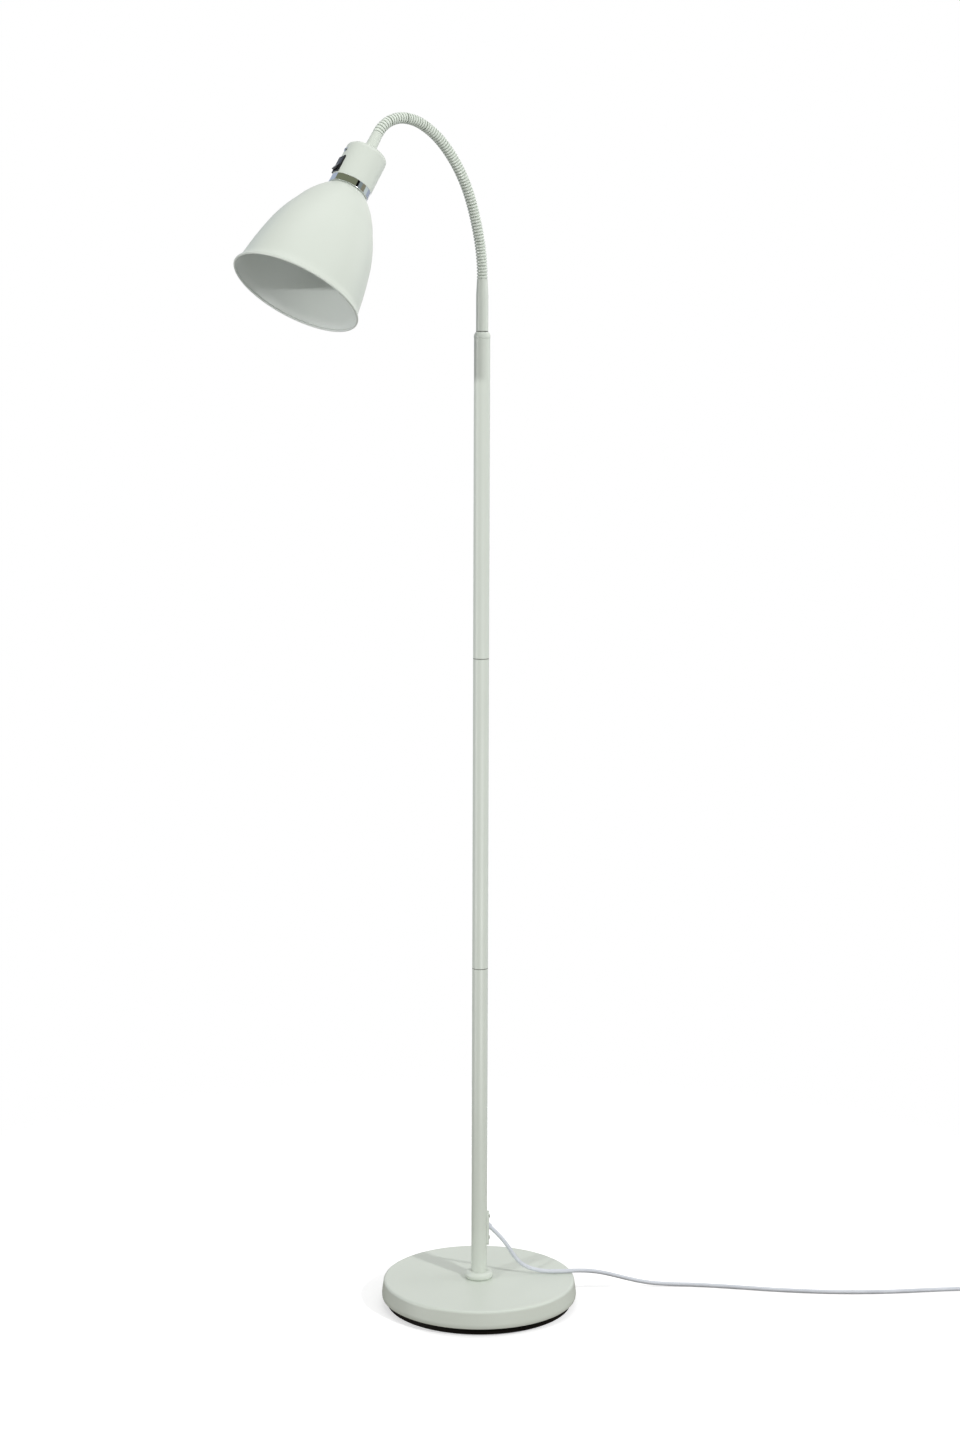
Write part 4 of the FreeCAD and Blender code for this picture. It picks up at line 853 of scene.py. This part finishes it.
@dataclass
class LampHead:
    """Upper ferrule, cup, chrome ring and bell shade on the head's axis. Sizes in millimetres."""

    neck: Gooseneck
    ferrule_length: float = 25.7
    ferrule_tip: float = 6.1
    ferrule_foot: float = 6.8
    cup_radius: float = 24.0
    cup_length: float = 44.2
    cup_wall: float = 1.8
    ring_height: float = 8.8
    ring_wall: float = 1.2
    shade_neck: float = 21.3
    shade_length: float = 134.2
    shade_seat: float = 1.6
    sheet: float = 0.8
    flange_hole: float = 5.1
    rim_radius: float = 73.7
    bead: float = 1.3
    spigot_length: float = 12.0
    screw_height: float = 12.5
    switch_angle: float = 16.0
    window_width: float = 15.2
    window_low: float = 21.4
    window_high: float = 42.6

    def axis(self, along: float = 0.0, turn: float = 0.0) -> Matrix:
        """The head's frame that far past the cup's top face, turned about the axis by so many degrees."""
        end = self.neck.frame_at(self.neck.starts[-1] + self.ferrule_length + along)
        return end @ turn_about("Z", turn)

    def build(self, shop: Workshop) -> None:
        """Builds the head's visible shells.

        Args:
            shop: Finishes the pieces.
        """
        shop.piece(self.ferrule(), "upper_ferrule", WHITE_COAT, "head", ("head_ferrule",))
        shop.piece(self.cup(), "cup_housing", WHITE_COAT, "head", ("switch_housing",))
        shop.piece(self.screw(), "clamp_screw", SCREW_STEEL, "head", ("housing_screw",))
        shop.piece(self.ring(), "polished_ring", CHROME, "head", ("chrome_ring",))
        shop.piece(self.shade(), "bell_shade", WHITE_COAT, "head", ("shade",), second=WHITE_INSIDE_PAINTED_LIGHT)

    def ferrule(self) -> Shape:
        """The tapered sleeve between the hose and the cup."""
        length, end = self.ferrule_length, self.ferrule_length + self.spigot_length
        outline = [(SEAT_RADIUS, 0.0), (self.ferrule_tip, 0.0, 0.25), (self.ferrule_foot, length)]
        outline += [(TAIL_RADIUS, length), (TAIL_RADIUS, end), (HOSE_BORE, end)]
        outline += [(HOSE_BORE, SEAT_DEPTH), (SEAT_RADIUS, SEAT_DEPTH)]
        return moved(turned(outline), self.axis(-length))

    def cup(self) -> Shape:
        """The cup with its rounded top edge and the opening for the switch."""
        outer, inner, length = self.cup_radius, self.cup_radius - self.cup_wall, self.cup_length
        outline = [(SEAT_RADIUS, 0.0), (outer, 0.0, 5.0), (outer, length, 0.3), (inner, length)]
        outline += [(inner, self.cup_wall, 3.2), (SEAT_RADIUS, self.cup_wall)]
        return moved(self.windowed(turned(outline, 96)), self.axis())

    def windowed(self, shape: Shape) -> Shape:
        """Cuts the switch's opening through the cup's wall, rims the cut, and hands the cup back."""
        turn = turn_about("Z", self.switch_angle)
        moved(shape, turn.inverted())
        wide, low, high = self.window_width / 2 * MM, self.window_low * MM, self.window_high * MM
        across, along = (0, 1, 0), (0, 0, 1)
        cuts = (((0, -wide, 0), across), ((0, wide, 0), across), ((0, 0, low), along), ((0, 0, high), along))
        for place, normal in cuts:
            bmesh.ops.bisect_plane(
                shape, geom=list(shape.verts) + list(shape.edges) + list(shape.faces), dist=1e-7,
                plane_co=place, plane_no=normal,
            )
        gone = []
        for face in shape.faces:
            centre = face.calc_center_median()
            if centre.x > 0 and abs(centre.y) < wide and low < centre.z < high:
                gone.append(face)
        bmesh.ops.delete(shape, geom=gone, context="FACES")
        bmesh.ops.bridge_loops(shape, edges=[edge for edge in shape.edges if edge.is_boundary])
        bmesh.ops.recalc_face_normals(shape, faces=list(shape.faces))
        return moved(shape, turn)

    def screw(self) -> Shape:
        """The small pan-head screw above the switch."""
        outline = [(0.0, -7.0), (1.5, -7.0), (1.5, 0.0), (2.8, 0.0), (2.7, 0.5, 0.2), (2.0, 1.3, 0.5)]
        outline += [(1.1, 1.3), (0.8, 0.6), (0.0, 0.5)]
        outward = Matrix.Translation((self.cup_radius * MM, 0, 0)) @ turn_about("Y", 90)
        return moved(turned(outline, 32), self.axis(self.screw_height, self.switch_angle) @ outward)

    def ring(self) -> Shape:
        """The polished ring that clamps the shade, with a rolled lower lip."""
        outer, inner, low = self.cup_radius, self.cup_radius - self.ring_wall, self.ring_height
        lip = self.shade_neck + 0.05
        outline = [(inner, 0.0), (outer, 0.0, 0.35), (outer, low, 1.0)]
        outline += [(lip, low, 0.2), (lip, low - 2.0), (inner, low - 2.0)]
        return moved(turned(outline, 128), self.axis(self.cup_length))

    def shade_line(self, inset: float, start: float) -> list[Point]:
        """The bell's outline from its neck to its flare, moved in by the inset and along to that start."""
        neck = (self.shade_neck - inset, 0.0 + inset)
        shoulder = (47.2 - inset * 0.5, 36.0 + inset)
        belly = (63.6 - inset, 81.0 + inset * 0.25)
        skirt = (70.6 - inset, 122.0)
        flare = (74.0 - inset * 1.4, self.shade_length - 2.6)
        line = [neck] + arc_corners(neck, shoulder, 103.0, True, 10)
        line += [shoulder] + arc_corners(shoulder, belly, 168.0, True, 10)
        line += [belly] + arc_corners(belly, skirt, 430.0, True, 6)
        line += [skirt] + arc_corners(skirt, flare, 22.0, False, 5)
        return [(radius, height + start) for radius, height in line + [flare]]

    def shade(self) -> Shape:
        """The spun bell with its clamped flange, its flare and its rolled rim."""
        start = self.ring_height + self.cup_length - (self.cup_length + self.shade_seat)
        mouth, bead = start + self.shade_length, self.bead
        outline = [(self.flange_hole, 0.0), (self.shade_neck, 0.0, 0.3)] + self.shade_line(0.0, start)
        for index in range(11):
            turn = math.radians(-70 + 28.5 * index)
            outline.append((self.rim_radius + bead * math.cos(turn), mouth - bead + bead * math.sin(turn)))
        outline += reversed(self.shade_line(self.sheet, start))
        outline += [(self.shade_neck - self.sheet, self.sheet), (self.flange_hole, self.sheet)]

        # The faces that look inwards get the inside's white with painted light.
        def inside(face: Face) -> bool:
            return face.normal.xy.dot(face.calc_center_median().xy) < 0

        return moved(marked(turned(outline, 128), inside), self.axis(self.cup_length + self.shade_seat))


@dataclass
class RockerSwitch:
    """The black panel switch in the cup's side: bezel, body and rocker. Millimetres, local X outwards."""

    head: LampHead
    centre: float = 32.0
    face: float = 24.5
    bezel: tuple[float, float, float] = (2.4, 15.0, 21.0)
    body: tuple[float, float, float] = (14.0, 12.8, 20.0)
    pocket: tuple[float, float, float] = (8.5, 10.8, 18.0)
    floor_gap: float = 0.4
    pin_radius: float = 1.2
    pin_reach: float = 6.4
    rocker_length: float = 16.0
    rocker_width: float = 10.4
    slope: float = 10.0
    pivot_depth: float = 3.4
    keel: float = 3.6
    edge: float = 2.2

    def place(self) -> Matrix:
        """The frame in the middle of the switch, on the head's axis."""
        return self.head.axis(self.centre, self.head.switch_angle)

    def build(self, shop: Workshop) -> None:
        """Builds the still part and the rocker.

        Args:
            shop: Finishes the pieces.
        """
        shop.piece(self.housing(), "switch_bezel", SWITCH_BLACK, "head", ("switch_body",))
        shop.piece(self.rocker(), "switch_paddle", SWITCH_BLACK, "switch_rocker", ("rocker",))

    def housing(self) -> Shape:
        """The bezel with its pocket, and the body behind it."""
        deep, wide, long = (value * MM for value in self.bezel)
        top, pocket = self.face * MM, self.pocket[0] * MM
        bezel = rounded_block(
            Vector((top - deep, -wide / 2, -long / 2)), Vector((top, wide / 2, long / 2)), 0.7 * MM
        )
        lid = max(bezel.faces, key=lambda item: item.calc_center_median().x * 1e3 + item.calc_area())
        bmesh.ops.inset_region(bezel, faces=[lid], thickness=0.8 * MM)
        for vert in lid.verts:
            vert.co.y = math.copysign(self.pocket[1] / 2 * MM, vert.co.y)
            vert.co.z = math.copysign(self.pocket[2] / 2 * MM, vert.co.z)
        pushed(bezel, lid, (-pocket, 0.0, 0.0))
        bmesh.ops.delete(bezel, geom=[lid], context="FACES_ONLY")
        bmesh.ops.recalc_face_normals(bezel, faces=list(bezel.faces))
        depth, width, length = (value * MM for value in self.body)
        rear = rounded_block(
            Vector((top - depth, -width / 2, -length / 2)),
            Vector((top - pocket - self.floor_gap * MM, width / 2, length / 2)),
            0.5 * MM,
        )
        return moved(joined(bezel, rear), self.place())

    def rocker(self) -> Shape:
        """The two-winged rocker, its mouth-side end proud, on its pin."""
        half, edge, keel = self.rocker_length / 2, self.edge, self.keel
        high = self.pivot_depth + half * math.tan(math.radians(self.slope))
        outline = [(self.pivot_depth, 0.0), (high, half), (high - edge, half), (-keel, edge), (-keel, -edge)]
        outline += [(high - edge, -half), (high, -half)]
        side = self.rocker_width / 2
        corners = [(x * MM, -side * MM, z * MM) for x, z in outline]
        shape = prism(corners, (0.0, self.rocker_width * MM, 0.0), 0.45 * MM)
        radius, reach = self.pin_radius, self.pin_reach
        pin = turned([(0.0, -reach), (radius, -reach), (radius, reach), (0.0, reach)], 24)
        moved(pin, turn_about("X", 90))
        seat = Matrix.Translation(((self.face - self.pivot_depth) * MM, 0.0, 0.0))
        return moved(joined(shape, pin), self.place() @ seat @ turn_about("Y", self.slope))


# -------- free cord


@dataclass
class FreeCord:
    """The mains lead: out of the entry plate, over the base's edge and along the floor to a neat coil."""

    diameter: float = 5.0
    plug_shift: float = 64.0
    pin_spread: float = 9.5
    plan_turn: float = -43.0
    side_turn: float = -33.0
    way_height: float = 109.0
    exit_radius: float = 15.0
    first_run: float = 13.5
    last_run: float = 30.0
    coil_centre: tuple[float, float] = (655.0, 84.0)
    coil_radius: float = 37.0
    coil_pitch: float = 5.6
    coil_step: float = 5.6
    turns_in: float = 3.5
    turns_out: float = 3.75
    floor_height: float = 2.7
    length: float = 1939.0
    route: tuple[tuple[float, float, float], ...] = (
        (34, 6.2, 71.5), (42.5, 7.8, 57.0), (54, 9.5, 43.5), (74, 10.8, 36.4), (97, 12, 35.4),
        (120, 15, 35.6), (142, 22, 32.5), (164, 32, 24.5), (187, 43, 14.5), (212, 52, 6.4),
        (240, 56.5, 3.1), (275, 55.5, 2.7), (320, 48, 2.75), (375, 37.5, 2.7), (440, 31, 2.75),
        (510, 33, 2.7), (575, 42.5, 2.75),
    )

    def plan(self, across: float, left: float, height: float) -> Vector:
        """A point of the cord's plan, turned to the cord's side of the lamp, in metres."""
        turn = Matrix.Rotation(math.radians(self.plan_turn), 3, "Z")
        return turn @ Vector((across, left, height)) * MM

    def exit_way(self) -> tuple[Vector, Vector]:
        """Where the cord leaves its bush, and in which direction."""
        side = math.radians(self.side_turn)
        outward = Vector((math.cos(side), math.sin(side), 0.0))
        way = (outward + Vector((0.0, 0.0, -1.0))).normalized()
        start = Vector((0.0, 0.0, self.way_height)) + (outward + Vector((0.0, 0.0, -1.0))) * self.exit_radius
        return start * MM, way

    def coil_point(self, turns: float) -> Vector:
        """A point of the coil: it winds in on the floor, climbs, and winds out on top."""
        inner = self.coil_radius - self.coil_pitch * self.turns_in
        winding_in = turns < self.turns_in
        radius = self.coil_radius - self.coil_pitch * turns
        if not winding_in:
            radius = inner + self.coil_pitch * (turns - self.turns_in)
        share = min(max((turns - self.turns_in + 0.25) / 0.5, 0.0), 1.0)
        climb = share * share * (3 - 2 * share)
        angle = -math.pi / 2 + 2 * math.pi * turns
        across = self.coil_centre[0] + radius * math.cos(angle)
        left = self.coil_centre[1] + radius * math.sin(angle)
        return self.plan(across, left, self.floor_height + climb * self.coil_step)

    def coil_way(self, turns: float) -> Vector:
        """The coil's direction at that many turns."""
        return (self.coil_point(turns + 1e-4) - self.coil_point(turns - 1e-4)).normalized()

    def points(self) -> list[Vector]:
        """The whole route's control points, from the bush to the strain relief."""
        start, way = self.exit_way()
        straight = self.diameter * MM
        total = self.turns_in + self.turns_out
        foot = self.coil_point(0.0) - self.coil_way(0.0) * straight
        line = [start, start + way * self.first_run * MM]
        line += [self.plan(*point) for point in self.route]
        line += [foot - self.coil_way(0.0) * self.last_run * MM]
        count = round(total * 16)
        line += [self.coil_point(total * index / count) for index in range(count + 1)]
        line.append(self.coil_point(total) + self.coil_way(total) * straight)
        return line

    def build(self, shop: Workshop) -> None:
        """Args:
            shop: Finishes the pieces.
        """
        points = self.points()
        curve = bpy.data.curves.new("mains_lead", "CURVE")
        curve.dimensions = "3D"
        curve.bevel_depth = self.diameter / 2 * MM
        curve.bevel_resolution = 4
        curve.resolution_u = 6
        curve.use_fill_caps = True
        spline = curve.splines.new("NURBS")
        spline.points.add(len(points) - 1)
        for target, point in zip(spline.points, points):
            target.co = (*point, 1.0)
        spline.order_u = 3
        spline.use_endpoint_u = True
        lead = placed("mains_lead", curve)
        shop.dress(lead, CORD_PVC)
        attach(lead, "stand")
        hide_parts("cord_run", "cord_coil")
        pieces = self.plug(shop)

    def plug(self, shop: Workshop) -> list[bpy.types.Object]:
        """The moulded plug with its ribbed relief and two pins.

        Args:
            shop: Finishes the pieces.

        Returns:
            The plug's pieces.
        """
        total = self.turns_in + self.turns_out
        way = self.coil_way(total)
        foot = self.coil_point(total) + way * self.diameter * MM
        place = Matrix.Translation(foot) @ Matrix.Rotation(math.atan2(way.y, way.x), 4, "Z")
        lying = turn_about("Y", 90)
        rings = [(0.0, 0.0), (3.1, 0.0, 0.3)]
        for index in range(6):
            low, radius = 2.5 + index * 4.2, 3.2 + index * 0.32
            rings += [(radius, low), (radius - 0.7, low + 0.4)]
            rings += [(radius - 0.6, low + 1.4), (radius + 0.15, low + 1.8)]
        relief = moved(turned(rings + [(5.0, 28.0), (0.0, 28.0)], 32), place @ lying)
        pin, pins = [(0.0, 0.0), (2.0, 0.0), (2.0, 19.0, 0.9), (0.0, 19.0)], []
        for side in (-self.pin_spread, self.pin_spread):
            seat = place @ Matrix.Translation((self.plug_shift * MM, side * MM, 0.0)) @ lying
            pins.append(moved(turned(pin, 32), seat))
        return [
            shop.piece(relief, "relief_sleeve", CORD_PVC, "stand", ("plug_relief",)),
            shop.piece(moved(self.plug_body(), place), "plug_shell", CORD_PVC, "stand", ("plug_body",)),
            shop.piece(joined(*pins), "plug_pin_pair", BRASS, "stand", ("plug_pins",)),
        ]

    def plug_body(self) -> Shape:
        """The flat moulded body, narrower at the cord's end."""
        outline = [(28.0, 6.0), (35.0, 13.0), (62.0, 13.0), (64.0, 11.0)]
        outline += [(x, -y) for x, y in reversed(outline)]
        return prism([(x * MM, y * MM, -7.8 * MM) for x, y in outline], (0.0, 0.0, 15.6 * MM), 1.6 * MM)


# -------- solids kept as they are


KEPT_SOLIDS: dict[Finish | GlassFinish, tuple[str, ...]] = {
    IRON: ("ballast_disc",),
    ZINC: (
        "base_nipple", "base_nut", "base_washer", "tube_bushes", "joint_nipples", "swivel_nut", "ferrule_nut",
        "holder_bracket", "holder_nipple", "holder_nut",
    ),
    WHITE_COAT: ("entry_screws", "cord_entry_plate"),
    CORD_PVC: ("cord_bush", "pole_cable", "head_wires", *(f"neck_cable_{index}" for index in range(1, 9))),
    SWITCH_BLACK: ("holder_cap", "holder_body"),
    BRASS: ("screw_shell", "centre_contact", "switch_terminals"),
    CHROME: ("bulb_cap",),
    CLEAR_GLASS: ("bulb_glass",),
}


def dress_kept_solids(shop: Workshop) -> None:
    """Gives every solid that stays in view its finish.

    Args:
        shop: Holds the finishes.
    """
    for finish, names in KEPT_SOLIDS.items():
        for name in names:
            shop.dress(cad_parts[name], finish)


# -------- studio

WHITE = (1.0, 1.0, 1.0, 1.0)
RING_CENTRE = Vector((-0.2, 0.0, 1.33))
RING_AXIS = Vector((-0.5592, 0.0, -0.829))
RING_FACING = Vector((-0.55, -0.75, 0.371))
CARD_SLANT, CARD_LEAN = 0.258, 0.966
CARD_REACH, GLINT_REACH = 4.6, 4.5
CARD_STEP = 6


class StudioLight(Enum):
    """The soft lamps: name, place in the camera's plan (right, away, up, metres), size and power."""

    LEFT = ("left_softbox", (-3.65, -3.57, 2.45), 0.2, 78.0)
    RIGHT = ("right_softbox", (3.74, -3.9, 3.9), 0.25, 165.0)
    TOP = ("top_softbox", (0.0, -0.6, 8.0), 4.0, 58.0)
    SIDE = ("side_softbox", (3.4, 0.4, 1.5), 2.0, 24.0)


class ReflectionCard(Enum):
    """Cards that only mirrors see, for the chrome ring: name, first and last angle, both edges, tint."""

    COOL = ("cool_card", -150.0, -96.0, -1.6, 0.45, (0.46, 0.53, 0.66))
    OLIVE = ("olive_card", -96.0, 29.0, -1.6, 0.45, (0.20, 0.22, 0.145))
    DARK = ("dark_card", 29.0, 42.0, -1.6, 0.45, (0.004, 0.004, 0.004))
    BLUE = ("blue_card", 42.0, 62.0, -1.6, 0.45, (0.26, 0.31, 0.32))
    TAUPE = ("taupe_card", 62.0, 86.0, -1.6, 0.45, (0.27, 0.26, 0.19))
    PALE = ("pale_card", 86.0, 112.0, -1.6, 0.45, (0.62, 0.70, 0.70))
    RIM = ("rim_card", 112.0, 150.0, -1.6, 0.45, (0.42, 0.47, 0.58))
    LEFT_GLINT = ("left_glint_card", -92.0, -72.0, -5.0, -0.6, (12.0, 12.0, 12.0))
    RIGHT_GLINT = ("right_glint_card", 34.0, 54.0, -5.0, -0.6, (12.0, 12.0, 12.0))


@dataclass
class Studio:
    """Camera, lamps, white world and pale floor, as the photograph has them."""

    right: Vector = field(default_factory=lambda: Vector((0.731354, -0.681998, 0.0)))
    away: Vector = field(default_factory=lambda: Vector((0.681998, 0.731354, 0.0)))
    distance: float = 3.111
    aside: float = 0.00103
    height: float = 1.1716
    pitch_down: float = 8.3
    roll: float = 0.0032625
    lens: float = 65.93
    fill: float = 0.43
    floor_radius: float = 2.4
    floor_lift: float = 0.5
    fade: tuple[float, float] = (0.45, 1.0)

    def build(self) -> None:
        """Builds everything that isn't the lamp itself."""
        self.camera()
        for lamp in StudioLight:
            self.softbox(lamp)
        self.world()
        self.floor()
        for card in ReflectionCard:
            self.card(card)
        bpy.context.scene.view_settings.view_transform = "Standard"

    def camera(self) -> None:
        """The camera at the photograph's viewpoint."""
        data = bpy.data.cameras.new("photo_camera")
        data.lens = self.lens
        data.sensor_width = 36.0
        data.sensor_fit = "AUTO"
        data.clip_end = 50.0
        pitch = math.radians(self.pitch_down)
        forward = self.away * math.cos(pitch) + Vector((0, 0, -math.sin(pitch)))
        up = self.right.cross(forward)
        side = self.right + up * self.roll
        up = up - self.right * self.roll
        turn = Matrix((side.normalized(), up.normalized(), -forward)).transposed().to_4x4()
        place = -self.away * self.distance - self.right * self.aside + Vector((0, 0, self.height))
        bpy.context.scene.camera = placed("photo_camera", data, Matrix.Translation(place) @ turn)

    def softbox(self, lamp: StudioLight) -> None:
        """One square lamp that looks at the middle of the object.

        Args:
            lamp: Which of the lamps.
        """
        name, (across, depth, up), size, power = lamp.value
        data = bpy.data.lights.new(name, "AREA")
        data.shape = "SQUARE"
        data.size = size
        data.energy = power
        place = self.right * across + self.away * depth + Vector((0, 0, up))
        aim = Vector((0, 0, 0.75)) - place
        turn = aim.to_track_quat("-Z", "Y").to_matrix().to_4x4()
        made = placed(name, data, Matrix.Translation(place) @ turn)
        made.visible_glossy = lamp is StudioLight.TOP

    def card(self, card: ReflectionCard) -> None:
        """One curved card, bent along the directions that the tilted ring mirrors to the camera.

        Args:
            card: Which of the cards.
        """
        name, first, last, low_edge, high_edge, tint = card.value
        reach = GLINT_REACH if max(tint) > 1.0 else CARD_REACH
        leftward = RING_AXIS.cross(RING_FACING)
        shape = bmesh.new()
        rims: list[list[bmesh.types.BMVert]] = [[], []]
        steps = max(2, round((last - first) / CARD_STEP))
        for index in range(steps + 1):
            turn = math.radians(first + (last - first) * index / steps)
            way = (RING_FACING * math.cos(turn) - leftward * math.sin(turn)) * CARD_LEAN
            for rim, shift in zip(rims, (low_edge, high_edge)):
                sight = (way - RING_AXIS * (CARD_SLANT + shift)).normalized()
                rim.append(shape.verts.new(RING_CENTRE + sight * reach))
        for low, low_next, high, high_next in zip(rims[0], rims[0][1:], rims[1], rims[1][1:]):
            shape.faces.new((low, low_next, high_next, high))
        made = placed(name, mesh_of(name, shape))
        paint, _, surface = new_material(name)
        feed(surface, {"Base Color": (0.0, 0.0, 0.0, 1.0), "Specular IOR Level": 0.0})
        feed(surface, {"Emission Color": (*tint, 1.0), "Emission Strength": 1.0})
        made.data.materials.append(paint)
        made.visible_diffuse = False
        made.visible_shadow = False
        made.visible_camera = False

    def world(self) -> None:
        """Soft even light, which camera, mirror and glass see as plain white."""
        world = bpy.data.worlds.new("studio_world")
        bpy.context.scene.world = world
        world.use_nodes = True
        tree = world.node_tree
        tree.nodes.clear()
        seen = add(tree, "LightPath").outputs
        fill = add(tree, "Background", {"Color": WHITE, "Strength": self.fill})
        plain = add(tree, "Background", {"Color": WHITE, "Strength": 1.0})
        either = add(tree, "Math", {0: seen["Is Camera Ray"], 1: seen["Is Glossy Ray"]})
        either.operation = "MAXIMUM"
        third = add(tree, "Math", {0: either.outputs["Value"], 1: seen["Is Transmission Ray"]})
        third.operation = "MAXIMUM"
        mix = add(tree, "MixShader", {"Fac": third.outputs["Value"], 1: fill.outputs["Background"]})
        feed(mix, {2: plain.outputs["Background"]})
        add(tree, "OutputWorld", {"Surface": mix.outputs["Shader"]})

    def floor(self) -> None:
        """A wide pale floor that keeps the lamp's soft shadow."""
        shape = bmesh.new()
        bmesh.ops.create_circle(shape, cap_ends=True, segments=96, radius=self.floor_radius)
        made = placed("studio_floor", mesh_of("studio_floor", shape))
        made.data.materials.append(self.floor_material())

    def floor_material(self) -> bpy.types.Material:
        """A matt white that fades away well outside the lamp's shadow, so that no horizon shows."""
        pale, tree, surface = new_material("pale_floor")
        seen = add(tree, "LightPath").outputs["Is Camera Ray"]
        tone = add(tree, "Mix")
        tone.data_type = "RGBA"
        feed(tone, {"A": (0.2, 0.18, 0.15, 1.0), "B": (0.78, 0.78, 0.78, 1.0), "Factor": seen})
        lift = add(tree, "Math", {0: seen, 1: self.floor_lift})
        lift.operation = "MULTIPLY"
        feed(surface, {"Roughness": 0.9, "Specular IOR Level": 0.0, "Base Color": tone.outputs["Result"]})
        feed(surface, {"Emission Color": WHITE, "Emission Strength": lift.outputs["Value"]})
        reach = add(tree, "VectorMath", {0: add(tree, "TexCoord").outputs["Object"]})
        reach.operation = "LENGTH"
        fade = add(tree, "MapRange", {"Value": reach.outputs["Value"]})
        feed(fade, {"From Min": self.fade[0], "From Max": self.fade[1]})
        clear = add(tree, "BsdfTransparent")
        mix = add(tree, "MixShader", {"Fac": fade.outputs["Result"], 1: surface.outputs["BSDF"]})
        feed(mix, {2: clear.outputs["BSDF"]})
        feed(tree.nodes["Material Output"], {"Surface": mix.outputs["Shader"]})
        return pale


def main() -> None:
    """Builds the lamp's looks and the studio, in order."""
    logging.basicConfig(level=logging.INFO, format="%(message)s")
    studio = Studio()
    studio.build()
    shop = Workshop()
    neck = Gooseneck()
    FreeCord().build(shop)
    WeightedBase().build(shop)
    StraightPole().build(shop)
    neck.build(shop)
    head = LampHead(neck)
    head.build(shop)
    RockerSwitch(head).build(shop)
    dress_kept_solids(shop)


if __name__ == "__main__":
    main()
